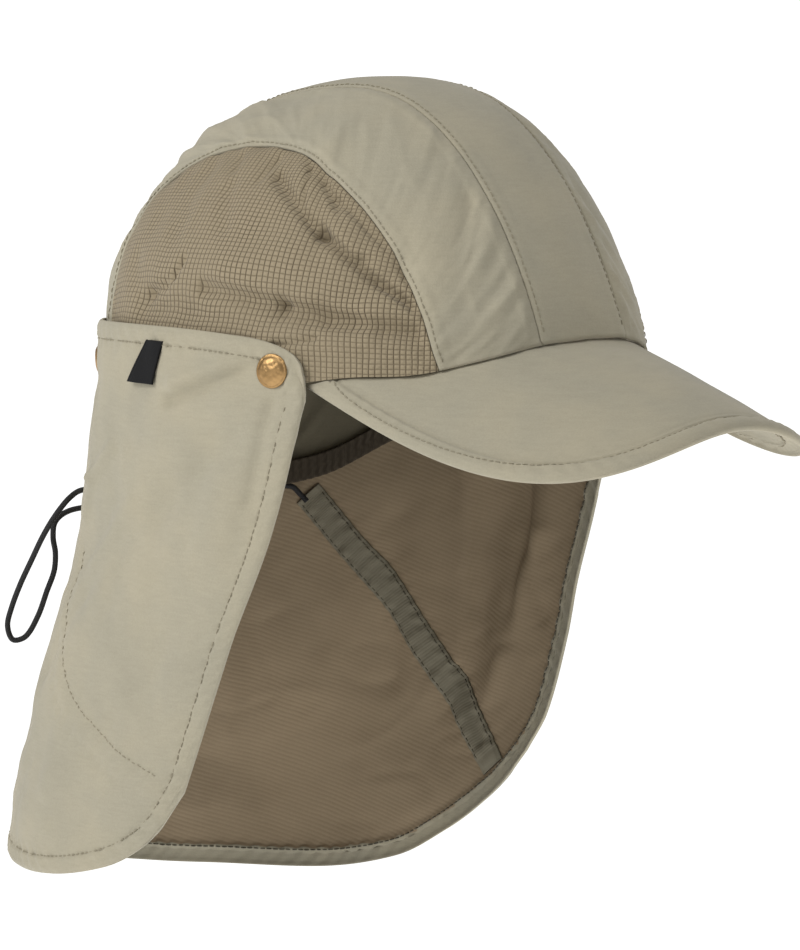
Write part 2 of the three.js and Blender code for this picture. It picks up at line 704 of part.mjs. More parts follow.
// Neck flap: across from -1 at the right front edge to 1 at the left, down from 0 to 1
function flapTopHeight(across) {
  const at = Math.abs(across);
  const corner = Math.pow(Math.max(1 - Math.pow(at, FLAP_CORNER), 0), 1 / FLAP_CORNER);
  return mix(FLAP_FRONT_TOP, FLAP_TOP, corner) - FLAP_TOP_BACK * (1 - at);
}
function flapBottomHeight(across) {
  return -FLAP_DROP * readTable(FLAP_HEM_ROWS, 'across', 'drop', across);
}
function flapFold(across, down) {
  let depth = 0;
  for (const row of FLAP_FOLDS) {
    const middle = row.across + row.drift * (down - row.from);
    const away = (across - middle) / row.width;
    const soft = (row.to - row.from) * FOLD_SOFTNESS;
    const here = rise(row.from, row.from + soft, down) * (1 - rise(row.to - soft, row.to, down));
    depth += row.depth * here * Math.exp(-away * away);
  }
  return depth;
}
// How close a place on the flap is to a snap: 1 at its middle, 0 two diameters away
function snapNearness(across, height) {
  let near = 0;
  for (const row of SNAP_ROWS) {
    const middle = flapTopHeight(row.across) - row.below;
    const arc = radians(FLAP_SPAN) * CROWN_HALF_LENGTH;
    const away = Math.hypot((Math.abs(across) - row.across) * arc, height - middle);
    near = Math.max(near, 1 - rise(SNAP_DIAMETER * SNAP_GRIP, SNAP_DIAMETER * 2, away));
  }
  return near;
}
// A point of the flap's outer face at a turn from the nape and a height
function flapAt(turn, height, across, down) {
  const low = Math.max(-height / FLAP_DROP, 0);
  const azimuth = 180 - Math.abs(turn);
  const scale = height > 0 ? crownScale(Math.cos(radians(azimuth)), height) : 1;
  const near = snapNearness(across, height);
  const fold = flapFold(across, down);
  const free = rise(0, FLAP_FREE_DROP, rimHeight(azimuth) - height);
  const loose = FLAP_STANDOFF + (fold < 0 ? fold * free : fold);
  const out = FLAP_SNAP_GAP + FLAP_CLOTH + loose * (1 - near) + FLAP_SPLAY * low;
  const a = radians(turn);
  const x = (CROWN_HALF_WIDTH * scale + out) * Math.sin(a);
  const y = (CROWN_HALF_LENGTH * scale + out) * Math.cos(a);
  const sweep = FLAP_SWEEP * readTable(FLAP_SWEEP_ROWS, 'low', 'sweep', low);
  return new THREE.Vector3(x, y + crownShift(height) + sweep, height);
}
// The half angle spanned on the side of a place across
function flapSpan(across, down) {
  const right = readTable(FLAP_EDGE_ROWS, 'down', 'right', down);
  const left = readTable(FLAP_EDGE_ROWS, 'down', 'left', down);
  return FLAP_SPAN * mix(right, left, rise(-HALF, HALF, across));
}
function flapPoint(across, down) {
  const height = mix(flapTopHeight(across), flapBottomHeight(across), down);
  return flapAt(across * flapSpan(across, down), height, across, down);
}
// The place across and down at which the flap has a turn and a height
function flapPlace(turn, height) {
  let across = turn / FLAP_SPAN;
  let down = 0;
  for (let round = 0; round < SEEK_ROUNDS; round += 1) {
    const top = flapTopHeight(across);
    down = (top - height) / (top - flapBottomHeight(across));
    across = turn / flapSpan(across, down);
  }
  return { across, down };
}
function flapNormal(across, down) {
  const along = flapPoint(across + SLOPE_STEP, down).sub(flapPoint(across - SLOPE_STEP, down));
  const below = flapPoint(across, down + SLOPE_STEP).sub(flapPoint(across, down - SLOPE_STEP));
  return along.cross(below).normalize();
}
// Grid lines across the flap: one each side of the front hems
const FLAP_HEM_SHARE = FLAP_HEM_WIDTH / (radians(FLAP_SPAN) * CROWN_HALF_LENGTH);
const FLAP_HEM_ROW = FLAP_HEM_WIDTH / (FLAP_DROP + FLAP_TOP);
function hemLine(share, steps, hem) {
  const line = Math.round(share * steps);
  if (line === 0) return 0;
  if (line === steps) return 1;
  return mix(hem, 1 - hem, (line - 1) / (steps - 2));
}
const flapAcross = (u) => mix(-1, 1, hemLine(u, FLAP_STEPS, FLAP_HEM_SHARE * HALF));
const flapDown = (v) => hemLine(v, FLAP_ROWS, FLAP_HEM_ROW);
const flapSurface = (u, v) => flapPoint(flapAcross(u), flapDown(v));
function flapThickness(u, v) {
  const edge = u === 0 || u === 1 || v === 0 || v === 1;
  return FLAP_CLOTH + (edge ? FLAP_HEM_SWELL * HALF : 0);
}

const wasm = await Module();
wasm.setup();
function toSolid(geometry) {
  const bare = geometry.clone();
  bare.deleteAttribute('normal');
  bare.deleteAttribute('uv');
  const merged = mergeVertices(bare);
  return new wasm.Manifold(new wasm.Mesh({
    numProp: 3,
    vertProperties: new Float32Array(merged.attributes.position.array),
    triVerts: new Uint32Array(merged.index.array),
  }));
}
function toGeometry(solid) {
  const mesh = solid.getMesh();
  const geometry = new THREE.BufferGeometry();
  geometry.setAttribute('position', new THREE.BufferAttribute(new Float32Array(mesh.vertProperties), 3));
  geometry.setIndex(new THREE.BufferAttribute(new Uint32Array(mesh.triVerts), 1));
  return geometry;
}

const slitPlace = flapPlace(0, -SLIT_BELOW);
const slitMiddle = flapPoint(slitPlace.across, slitPlace.down);
const slitBox = new THREE.BoxGeometry(SLIT_WIDTH, SLIT_WIDTH, SLIT_HEIGHT);
slitBox.translate(slitMiddle.x, slitMiddle.y, slitMiddle.z);
const flapSolid = toSolid(shell(flapSurface, FLAP_STEPS, FLAP_ROWS, flapThickness, 1));
addPiece('neck_flap', toGeometry(flapSolid.subtract(toSolid(slitBox))), CLOTH_FLAP);

// A point on the flap's inner face, clear of it, at a turn from the nape and a height
function flapLining(turn, height, clearance) {
  const place = flapPlace(turn, height);
  const normal = flapNormal(place.across, place.down);
  return flapPoint(place.across, place.down).addScaledVector(normal, -FLAP_CLOTH - clearance);
}

// Casings on the flap's inner face: a band along a centre line given by turn and height
function casingSurface(rows, sign) {
  const arc = radians(1) * CROWN_HALF_LENGTH;
  const turnAt = (share) => readTable(rows, 'share', 'angle', share);
  const heightAt = (share) => -readTable(rows, 'share', 'below', share);
  return (u, v) => {
    const back = Math.max(v - CASING_SLOPE_STEP, 0);
    const forth = Math.min(v + CASING_SLOPE_STEP, 1);
    const along = new THREE.Vector2(
      (turnAt(forth) - turnAt(back)) * arc,
      heightAt(forth) - heightAt(back),
    ).normalize();
    const aside = CASING_WIDTH * mix(-HALF, HALF, u);
    const turn = turnAt(v) + aside * along.y / arc;
    const height = heightAt(v) - aside * along.x;
    return flapLining(sign * turn, height, CASING_CLEARANCE);
  };
}
addPiece(
  'casing_right',
  shell(casingSurface(CASING_RIGHT_ROWS, -1), NARROW_STEPS, CASING_STEPS, () => CASING_THICKNESS, 1),
  CLOTH_SHADE,
);
addPiece(
  'casing_left',
  shell(casingSurface(CASING_LEFT_ROWS, 1), NARROW_STEPS, CASING_STEPS, () => CASING_THICKNESS, -1),
  CLOTH_SHADE,
);

// Snap caps: a shallow dome with a rolled rim, on the flap's outer face
const snapProfile = SNAP_PROFILE.map(({ radius, height }) => (
  new THREE.Vector2(radius * SNAP_DIAMETER * HALF, height * SNAP_HEIGHT)
));
for (const { name, sign } of SIDES) {
  for (const row of SNAP_ROWS) {
    const height = flapTopHeight(row.across) - row.below;
    const across = sign * row.across;
    const top = flapTopHeight(across);
    const down = (top - height) / (top - flapBottomHeight(across));
    const normal = flapNormal(across, down);
    const outward = normal.multiplyScalar(Math.sign(normal.dot(flapPoint(across, down))));
    const snap = addPiece(`snap_${row.place}_${name}`, new THREE.LatheGeometry(snapProfile, SNAP_SIDES), BRASS);
    snap.position.copy(flapPoint(across, down)).addScaledVector(outward, SNAP_GAP);
    snap.quaternion.setFromUnitVectors(new THREE.Vector3(0, 1, 0), outward);
  }
}

// Label: a tag hanging from the hem stitch, a little skewed, its lower end standing off
const labelTop = flapTopHeight(LABEL_ACROSS) - FLAP_HEM_WIDTH * LABEL_HEM_SHARE;
function labelSurface(u, v) {
  const arc = radians(FLAP_SPAN) * CROWN_HALF_LENGTH;
  const aside = mix(-HALF, HALF, u) * LABEL_WIDTH * mix(1, LABEL_FLARE, v) + LABEL_SKEW * v;
  const across = -LABEL_ACROSS + aside / arc;
  const height = labelTop - LABEL_LENGTH * v;
  const top = flapTopHeight(across);
  const down = (top - height) / (top - flapBottomHeight(across));
  const normal = flapNormal(across, down);
  const off = LABEL_GAP + LABEL_THICKNESS + LABEL_STANDOFF * v * v;
  return flapPoint(across, down).addScaledVector(normal, off);
}
addPiece('label', shell(labelSurface, NARROW_STEPS, LABEL_ROWS, () => LABEL_THICKNESS, 1), BLACK);

// Drawcord
const cordPath = new THREE.CatmullRomCurve3(CORD_ROUTE.map((p) => new THREE.Vector3(...p)));
const cordSection = new THREE.Shape();
for (let k = 0; k < CORD_SIDES; k += 1) {
  const turn = (2 * Math.PI * k) / CORD_SIDES;
  const x = CORD_DIAMETER * HALF * Math.cos(turn);
  const y = CORD_DIAMETER * HALF * Math.sin(turn);
  if (k === 0) cordSection.moveTo(x, y);
  else cordSection.lineTo(x, y);
}
cordSection.closePath();
const cordTube = new THREE.ExtrudeGeometry(cordSection, { steps: CORD_STEPS, extrudePath: cordPath });
addPiece('drawcord', cordTube, BLACK);

export default group;
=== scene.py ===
"""Sun cap with a neck flap, dressed over its CAD frame.

Everything is in metres, in the frame's own axes: +Z up, the peak towards -Y, the right side at -X.
"""
import math

import bpy
import numpy as np
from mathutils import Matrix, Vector


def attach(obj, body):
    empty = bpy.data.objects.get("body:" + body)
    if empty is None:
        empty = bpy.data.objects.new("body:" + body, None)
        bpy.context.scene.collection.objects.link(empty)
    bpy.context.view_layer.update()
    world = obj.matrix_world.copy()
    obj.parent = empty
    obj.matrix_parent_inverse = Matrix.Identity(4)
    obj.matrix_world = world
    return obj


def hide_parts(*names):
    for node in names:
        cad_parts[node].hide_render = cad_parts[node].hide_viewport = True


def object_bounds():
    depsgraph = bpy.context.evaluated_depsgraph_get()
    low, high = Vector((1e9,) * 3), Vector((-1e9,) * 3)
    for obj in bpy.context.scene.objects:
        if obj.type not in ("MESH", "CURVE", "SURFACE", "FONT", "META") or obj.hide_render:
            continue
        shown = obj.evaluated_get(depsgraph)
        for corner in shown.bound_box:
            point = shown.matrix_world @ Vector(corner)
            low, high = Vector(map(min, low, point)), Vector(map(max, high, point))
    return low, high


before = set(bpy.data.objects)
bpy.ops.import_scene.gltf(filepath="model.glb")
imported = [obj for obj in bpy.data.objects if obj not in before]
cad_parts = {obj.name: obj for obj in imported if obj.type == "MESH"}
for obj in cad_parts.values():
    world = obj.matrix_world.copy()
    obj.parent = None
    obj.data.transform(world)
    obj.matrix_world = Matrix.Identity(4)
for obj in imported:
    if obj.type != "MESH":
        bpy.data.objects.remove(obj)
CAD_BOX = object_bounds()

bl_info = {
    "name": "Sun cap",
    "version": (1, 0, 0),
    "blender": (4, 5, 0),
    "location": "View3D > Sidebar > Sun cap",
    "description": "Builds a sun cap with a peak, vent panels and a hanging neck flap",
    "category": "Add Mesh",
}

MM = 0.001
BODY = "root"
PHOTO_SIZE = (800, 950)
SEEK_ROUNDS = 30


def length(name, description, default):
    """A size in metres, which is given in millimetres."""
    return bpy.props.FloatProperty(
        name=name, description=description, default=default * MM, unit="LENGTH", precision=4
    )


def number(name, description, default):
    """A plain number, such as an exponent or a share."""
    return bpy.props.FloatProperty(name=name, description=description, default=default)


def angle(name, description, default):
    """An angle, which is given in degrees."""
    return bpy.props.FloatProperty(
        name=name, description=description, default=math.radians(default), subtype="ANGLE"
    )


def power(name, description, default):
    """The power of a light, in watts."""
    return bpy.props.FloatProperty(
        name=name, description=description, default=default, subtype="POWER"
    )


def colour(name, description, red, green, blue):
    """A colour, which is given as it looks on a screen, from 0 to 255."""
    linear = tuple(((c / 255 + 0.055) / 1.055) ** 2.4 for c in (red, green, blue))
    return bpy.props.FloatVectorProperty(
        name=name, description=description, subtype="COLOR", size=3, min=0, max=1, default=linear
    )


class CrownSizes(bpy.types.PropertyGroup):
    """Sizes of the crown, the peak and the band inside the rear rim."""

    half_width: length("Half width", "Half of the crown's width over the ears", 82)
    half_length: length("Half length", "Half of the crown's length", 101)
    height: length("Height", "Height of the dome over the temples", 102.5)
    backset: length("Backset", "How far the middle height sits back", 13.5)
    lean: length("Lean", "How far the top comes forward again", 25)
    front_roundness: number("Front roundness", "Exponent of the dome at the forehead", 1.75)
    side_roundness: number("Side roundness", "Exponent of the dome over the ears", 2.05)
    back_roundness: number("Back roundness", "Exponent of the dome at the nape", 2.3)
    cloth: length("Cloth", "Thickness of the crown's wall", 1.2)
    strip_half_width: length("Strip half width", "Half of the centre strip's width", 21)
    rim_rise: length("Rim rise", "The rim at the forehead, above the temples", 18.8)
    rim_drop: length("Rim drop", "The rim at the nape, below the temples", 48)
    rear_tuck: length("Rear tuck", "How far the elastic draws the rear rim in", 5)
    seam_gap: length("Seam gap", "Space between two panels at their seam", 0.12)
    seam_roll: length("Seam roll", "Radius with which a panel's edge turns in", 0.55)
    peak_side_inset: length("Peak side inset", "How much narrower the peak is on each side", 7.5)
    peak_reach: length("Peak reach", "From the forehead seam to the peak's tip", 60.5)
    peak_fall: number("Peak fall", "Drop of the peak for each step forward", 0.407)
    peak_arch: length("Peak arch", "Drop from the peak's middle to its sides", 40)
    peak_squareness: number("Peak squareness", "Exponent of the peak's outline", 3)
    peak_thickness: length("Peak thickness", "Thickness of the peak's board", 2.4)
    peak_root: angle("Peak root", "Where the seam with the crown ends", 62)
    peak_corner: angle("Peak corner", "Where the peak's sides begin", 68)
    peak_hem: length("Peak hem", "Width of the peak's bound edge", 7)
    peak_clearance: length("Peak clearance", "Space between the peak and the rim", 0.45)
    band_height: length("Band height", "Height of the gathered band", 8)
    band_thickness: length("Band thickness", "Thickness of the gathered band", 1.5)
    band_angle: angle("Band angle", "Half angle that the band spans", 70)
    band_clearance: length("Band clearance", "Space between the band and the crown", 0.6)


class FlapSizes(bpy.types.PropertyGroup):
    """Sizes of the neck flap and what is sewn to it."""

    cloth: length("Cloth", "Thickness of the flap's wall", 0.7)
    hem: length("Hem", "Width of the folded hem", 7)
    hem_thickness: length("Hem thickness", "Thickness of the folded hem", 1.5)
    top: length("Top", "Top edge over the ears, above the temples", 26)
    top_back: length("Top back", "How much lower the top edge is at the back", 11)
    front_top: length("Front top", "Where the front edges begin", 2)
    corner: number("Corner", "Exponent that rounds the top front corners", 4)
    drop: length("Drop", "Hem at the nape, below the temples", 180)
    sweep: length("Sweep", "How far the hem stands back", 44)
    splay: length("Splay", "How far the hem stands out", 4)
    standoff: length("Standoff", "Space between crown and flap away from the snaps", 1.8)
    face: length("Face", "From the crown to the flap's outer face at a snap", 1.45)
    free_drop: length("Free drop", "How far below the rim folds may sink in fully", 30)
    fold_softness: number("Fold softness", "Share of a fold over which it rises", 0.35)
    span: angle("Span", "Half angle that the flap spans about the head", 113)
    snap_diameter: length("Snap diameter", "Diameter of a snap's cap", 11.4)
    snap_height: length("Snap height", "Height of a snap's cap", 2.2)
    snap_lift: length("Snap lift", "Space under a snap's cap", 0.3)
    label_width: length("Label width", "Width of the label where it is sewn in", 9.5)
    label_length: length("Label length", "Length of the label", 14.5)
    label_flare: number("Label flare", "Width at its lower end, as a share", 1.6)
    label_skew: length("Label skew", "How far its lower end trails back", 6.5)
    label_thickness: length("Label thickness", "Thickness of the folded label", 0.7)
    casing_width: length("Casing width", "Width of the cord's casings", 10)
    cord_diameter: length("Cord diameter", "Diameter of the drawcord", 2)
    slit_width: length("Slit width", "Width of the cord's slit", 10)
    slit_height: length("Slit height", "Height of the cord's slit", 3.5)
    slit_below: length("Slit below", "The slit's middle, below the temples", 50.4)


class CapColours(bpy.types.PropertyGroup):
    """Colours of the cap's materials."""

    sage: colour("Sage", "Cloth of the crown, the peak and the flap", 161, 155, 136)
    check: colour("Check", "Cells of the vent panels' cloth", 151, 138, 113)
    check_line: colour("Check lines", "Lines between the cells", 72, 60, 44)
    lining: colour("Lining", "Inner face of the cloth", 131, 116, 94)
    rib: colour("Ribs", "Ribs of the inner face", 98, 84, 66)
    tape: colour("Tape", "Casings of the drawcord", 108, 103, 88)
    # The hem is the sage cloth folded in; its colour is set darker than sage: painted shade inside the
    # flap
    hem: colour("Hem", "Folded hem inside the flap", 136, 131, 114)
    # The crown's inner face is the cloth's coated inner face, set darker than the lining: painted
    # shade inside the crown
    crown_inside: colour("Crown inside", "Inner face of the crown", 96, 91, 76)
    band: colour("Band", "Gathered band inside the rim", 66, 59, 49)
    thread: colour("Thread", "Top stitching", 143, 136, 116)
    dark_thread: colour("Dark thread", "Stitching inside the flap", 74, 70, 58)
    brass: colour("Brass", "Snap caps", 176, 142, 96)
    black: colour("Black", "Label and drawcord", 19, 19, 20)


class StageSettings(bpy.types.PropertyGroup):
    """Camera and light."""

    azimuth: angle("Azimuth", "Turn of the camera about the cap", -47)
    elevation: angle("Elevation", "Height of the camera as an angle", 6)
    distance: length("Distance", "From the camera to its aim", 2000)
    focal_pixels: number("Focal length", "Focal length in pixels of the photo", 5870)
    aim_side: length("Aim side", "The aim, to the right of the origin", 7.67)
    aim_height: length("Aim height", "The aim, above the origin", -33.4)
    key: power("Key", "Power of the main soft light", 32)
    fill: power("Fill", "Power of the soft light above the peak", 12.5)
    back: power("Back", "Power of the soft light behind the cap", 5.5)
    sky: number("Sky", "Strength of the even light from all round", 0.3)
    floor_drop: length("Floor drop", "From the cap's lowest point down to the floor", 1200)


# The cap's two sides, with the sign of X there
HANDS = {"right": -1, "left": 1}
# How far in stitches lie: from a crown seam, from a side panel's edge at the vent, from the inner end
# of the flap's hem, and from a casing's edge
SEAM_STITCH = 1.6 * MM
PANEL_STITCH = 1.7 * MM
HEM_STITCH = 0.8 * MM
CASING_STITCH = 1.0 * MM
# A casing's stitch line, as a share of its half width
CASING_STITCH_SHARE = 0.8
# How far a casing's tape runs on past its first point, under the hem
CASING_OVERLAP = 5 * MM
# A casing's length, as its weave and its puckers count it
CASING_LENGTH = 110 * MM
# The radius with which the flap's hem turns in, and the peak's, as a share of its thickness
HEM_ROLL = 0.5 * MM
PEAK_ROLL_SHARE = 0.42
# The vents' cloth stands out by less than this, however it is creased
VENT_MOST = 1.4 * MM
# How far outside the slit its stitches lie, across and down, in mm
SLIT_MARGIN = (1.4, 1.0)
# The drawcord's braid: plies round it, and the pitch of each
CORD_PLIES = 8
CORD_PITCH = 1.1 * MM
# Extra grid lines near a cloth's edge, for its roll, its stitch groove and its hem: mm from the edge
PANEL_MARKS = (0.12, 0.3, 0.55, 0.9, 1.4, 2.0)
PEAK_MARKS = (0.1, 0.3, 0.6, 1.0, 1.5, 2.4, 3.4, 4.4, 5.4, 6.0, 6.4, 6.8, 7.2, 7.6, 8.2)
FLAP_MARKS = (0.12, 0.35, 0.7, 1.2, 2.0, 3.2, 4.4, 5.3, 5.8, 6.2, 6.6, 7.2, 8.0)
LABEL_MARKS = (0.1, 0.3)
# The camera's sensor in mm, and how far the camera sees and the floor reaches, in metres
SENSOR_WIDTH = 36
SIGHT = 200
FLOOR_REACH = 60.0


# Tables: each column is a tuple, and rows are read across

# The lights: places from the aim in metres, to the camera's right, towards it and up; diameters
LIGHTS = {
    "name": ("key", "fill", "back"),
    "right": (-1.75, 0.1, 1.2),
    "toward": (0.95, 0.9, -1.5),
    "up": (1.3, 2.0, 1.1),
    "diameter": (1.2, 1.4, 1.4),
}
# The rim by azimuth from the forehead: shares of the rim's rise and of its drop
RIM = {
    "azimuth": (0, 15, 30, 45, 58, 70, 80, 90, 110, 125, 140, 160, 180),
    "rise": (1.0, 0.93, 0.7, 0.46, 0.4, 0.24, 0, 0, 0, 0, 0, 0, 0),
    "drop": (0, 0, 0, 0, 0, 0, 0, 0.12, 0.38, 0.64, 0.88, 0.98, 1.0),
}
# The vent panel's seam: place along it, azimuth, height as a share of the crown's
VENT_SEAM = {
    "place": (0.0, 0.1, 0.2, 0.3, 0.4, 0.5, 0.6, 0.7, 0.8, 0.9, 1.0),
    "azimuth": (39.5, 42.8, 49.0, 60.5, 78.0, 99.0, 119.0, 133.5, 134.5, 129.0, 126.0),
    "height": (0.08, 0.29, 0.48, 0.64, 0.76, 0.785, 0.745, 0.62, 0.42, 0.14, -0.3),
}
VENT_MIDDLE = {"azimuth": 88, "height": 0.3}
# Share of the seam over which it runs straight into the rim
SEAM_FOOT = 1 / 28
# Creases of the crown: both ends as azimuth and share of the height; depth and width in mm
CROWN_CREASES = {
    "azimuth0": (45, 70, 58, 112, 122, 60, 27),
    "height0": (0.42, 0.7, 0.24, 0.7, 0.4, 0.5, 0.62),
    "azimuth1": (62, 66, 112, 108, 114, 88, 32),
    "height1": (0.3, 0.5, 0.27, 0.52, 0.3, 0.4, 0.34),
    "depth": (1.6, 1.3, 1.8, 1.2, 1.4, -1.2, 1.2),
    "width": (5, 5, 5, 6, 5, 7, 7),
}
# Sharper creases that only the vent cloth shows
VENT_CREASES = {
    "azimuth0": (84, 66, 77, 61, 93, 73, 92, 74, 112, 103, 104, 88, 75, 69, 64, 46, 54, 98, 60),
    "height0": (
        0.66, 0.50, 0.70, 0.53, 0.30, 0.27, 0.37, 0.160, 0.270, 0.320, 0.75, 0.73, 0.74, 0.68,
        0.62, 0.440, 0.20, 0.60, 0.33,
    ),
    "azimuth1": (66, 44, 61, 46, 73, 44, 60, 65, 105, 101, 101, 89, 73, 62, 50, 56, 76, 92, 44),
    "height1": (
        0.50, 0.30, 0.53, 0.40, 0.27, 0.22, 0.34, 0.190, 0.295, 0.370, 0.68, 0.65, 0.60, 0.55,
        0.48, 0.435, 0.19, 0.48, 0.27,
    ),
    "depth": (
        1.5, 2.0, -1.3, -1.6, 2.1, 1.7, -1.5, 1.2, 1.3, 1.2, 1.0, 0.7, 1.2, 1.4, 1.3, 1.3, -0.9,
        0.7, -1.1,
    ),
    "width": (2.2, 2.2, 4, 4, 3, 3, 5, 1.3, 1.8, 1.5, 3, 2.5, 1.8, 2, 3, 1.7, 4, 4, 4),
}
# The flap's front edges: how far down, and shares of the span on each side
FLAP_EDGE = {
    "down": (0, 0.2, 0.35, 0.5, 0.7, 0.9, 1.0),
    "right": (1.0, 0.98, 0.963, 0.947, 0.925, 0.914, 0.912),
    "left": (1.0, 0.98, 0.966, 0.96, 0.958, 0.95, 0.925),
}
# The flap's hem: place across, from the right edge over the nape to the left; share of the drop
FLAP_HEM = {
    "across": (
        -1.0, -0.97, -0.92, -0.85, -0.72, -0.5, -0.3, 0.0, 0.3, 0.55, 0.72, 0.82, 0.9, 0.96, 1.0,
    ),
    "drop": (
        0.745, 0.82, 0.87, 0.905, 0.935, 0.948, 0.945, 1.01, 1.045, 1.055, 1.018, 0.955, 0.893,
        0.835, 0.77,
    ),
}
# How far the flap stands back: heights as shares of the drop, shares of the sweep
FLAP_SWEEP = {
    "low": (0, 0.25, 0.43, 0.53, 0.67, 0.83, 0.95, 1.05),
    "sweep": (0, 0.13, 0.34, 0.44, 0.62, 0.86, 0.93, 1.0),
}
# Soft folds of the flap: place across and its drift down the cloth, rows from and to as shares of
# the height, width across, depth in mm, outward positive
FLAP_FOLDS = {
    "across": (-0.9, -0.74, -0.52, -0.5, -0.66, -0.2, 0.02, 0.2, 0.46, 0.74, 0.86),
    "drift": (0.06, 0.1, 0.05, 0.08, -0.04, 0.04, 0.0, 0.08, 0.02, 0.02, 0.0),
    "from": (0.1, 0.16, 0.22, 0.45, 0.7, 0.3, 0.4, 0.3, 0.35, 0.2, 0.15),
    "to": (0.62, 0.5, 0.5, 0.8, 1.1, 1.2, 1.2, 1.1, 1.1, 0.9, 0.85),
    "width": (0.05, 0.07, 0.13, 0.16, 0.1, 0.09, 0.1, 0.08, 0.12, 0.07, 0.06),
    "depth": (1.6, -1.8, -3.4, 2.6, 2.2, -3.2, 2.8, -4.0, 3.0, 3.6, -3.4),
}
# Sharper creases of the flap: both ends as degrees from the nape, right negative, and mm above the
# temples; depth, outward positive, and width in mm
FLAP_CREASES = {
    "turn0": (
        -103, -102, -101, -106, -62, -52, -99, -70, -60, 60, 74, 88, 20, -20, -96, -30, 36, 95,
        80, 84,
    ),
    "height0": (
        11, 14.5, 17.5, -2, -22, -34, -14, -40, -70, -60, -40, -30, -70, -70, -60, -130, -100, -60,
        -112, -40,
    ),
    "turn1": (
        -82, -84, -80, -104, -52, -46, -80, -58, -48, 66, 80, 92, 34, -30, -88, -36, 44, 90,
        91, 100,
    ),
    "height1": (
        -3, 3, 18.5, -34, -34, -48, -42, -62, -100, -120, -110, -100, -140, -150, -100, -160, -160,
        -120, -138, -90,
    ),
    "depth": (
        -2.5, 2.0, -1.5, -2.0, 1.8, 1.5, -1.9, 1.6, -1.8, 1.5, -1.8, 1.6, -1.5, 1.4, -1.5, -1.2,
        1.4, -1.3, 1.5, 1.2,
    ),
    "width": (2.5, 3.2, 1.6, 2.6, 2.6, 2.6, 6, 5, 7, 6, 5, 4, 8, 8, 7, 7, 7, 4, 2, 3),
}
# Snaps on each side: shares of the flap's span, and mm below its top edge
SNAPS = {"place": ("front", "back"), "across": (0.947, 0.335), "below": (8.5, 14)}
# Casing centre lines, from the front hem to the nape: degrees from the nape, mm below the temples
CASINGS = {
    "right": {
        "share": (0.0, 0.2, 0.4, 0.6, 0.8, 1.0),
        "angle": (96, 87, 76, 65, 52, 43),
        "below": (133, 127.5, 120, 110, 88, 62),
    },
    "left": {
        "share": (0.0, 0.2, 0.4, 0.6, 0.8, 1.0),
        "angle": (94, 83, 71, 61, 49.5, 40.5),
        "below": (143, 124, 103, 83, 65, 50.5),
    },
}
# A snap's cap from the middle of its back to its top: shares of its radius and its height
SNAP_PROFILE = {
    "radius": (0.0, 0.6, 0.9, 0.97, 1.0, 1.0, 0.965, 0.9, 0.87, 0.84, 0.76, 0.6, 0.4, 0.2, 0.0),
    "height": (
        0.0, 0.0, 0.0, 0.03, 0.12, 0.27, 0.38, 0.42, 0.41, 0.47, 0.66, 0.85, 0.95, 0.99, 1.0,
    ),
}
# The label's place on the right side: a share of the span, and how far down the hem it is sewn in
LABEL_ACROSS = 0.69
LABEL_HEM_SHARE = 0.7
# A stitch's rings: shares of its span along it, and of its thread's thickness out of the cloth and
# in radius
STITCH = {
    "along": (-0.5, -0.36, 0.0, 0.36, 0.5),
    "lift": (-0.45, 0.35, 0.6, 0.35, -0.45),
    "radius": (0.175, 0.425, 0.5, 0.425, 0.175),
}
STITCH_SIDES = 6
# The radius of the small disc that closes a snap at each pole, in metres
POLE_RADIUS = 2e-5
# The drawcord's given points, in mm, as in the part's source
CORD_ROUTE = (
    (-54.0, 80.5, -58.0),
    (-46.0, 87.5, -55.0),
    (-32.0, 96.5, -52.0),
    (-20.0, 101.5, -50.5),
    (-12.0, 103.8, -50.2),
    (-6.0, 105.6, -50.0),
    (-3.0, 109.0, -50.0),
    (-4.0, 113.0, -49.2),
    (-9.0, 115.2, -47.6),
    (-20.0, 113.8, -45.4),
    (-34.2, 109.5, -43.9),
    (-45.3, 104.8, -45.8),
    (-48.7, 108.0, -51.7),
    (-48.8, 114.0, -59.2),
    (-47.5, 121.0, -67.9),
    (-46.3, 128.5, -77.8),
    (-45.5, 134.0, -86.9),
    (-44.9, 136.5, -93.2),
    (-42.8, 136.0, -98.2),
    (-39.9, 132.6, -97.0),
    (-38.7, 127.5, -89.4),
    (-39.5, 122.0, -80.0),
    (-39.6, 118.2, -72.6),
    (-41.2, 115.8, -65.9),
    (-43.2, 114.8, -60.3),
    (-42.0, 115.2, -55.2),
    (-36.0, 116.2, -52.2),
    (-25.6, 118.0, -51.4),
    (-12.0, 119.0, -52.2),
    (-3.0, 117.0, -52.0),
    (2.2, 113.4, -51.5),
    (3.8, 109.0, -51.0),
    (8.0, 105.6, -50.5),
    (14.0, 103.4, -50.0),
    (26.0, 99.0, -49.5),
    (40.0, 92.5, -48.0),
    (48.3, 88.0, -47.4),
    (51.6, 86.4, -50.4),
    (53.2, 84.6, -53.0),
)


def crown():
    """The crown's sizes."""
    return bpy.context.scene.cap_crown


def flap():
    """The flap's sizes."""
    return bpy.context.scene.cap_flap


def rows_of(table):
    """The rows of a table, each as a dict of its columns."""
    keys = list(table)
    return [dict(zip(keys, row)) for row in zip(*table.values())]


def mix(a, b, share):
    """Part of the way from a to b."""
    return a + (b - a) * share


def rise(low, high, x):
    """0 below low, 1 above high, and a smooth step between them."""
    t = np.clip((x - low) / (high - low), 0, 1)
    return t * t * (3 - 2 * t)


def plateau(x, begins, full, fades, ends):
    """1 from full to fades, 0 before begins and past ends, with smooth steps between."""
    return rise(begins, full, x) * (1 - rise(fades, ends, x))


def bell(x, width):
    """1 at x = 0, dying away over the width: exp of minus the square."""
    return np.exp(-((x / width) ** 2))


def dot(a, b):
    """The dot product along the last axis."""
    return np.sum(a * b, axis=-1)


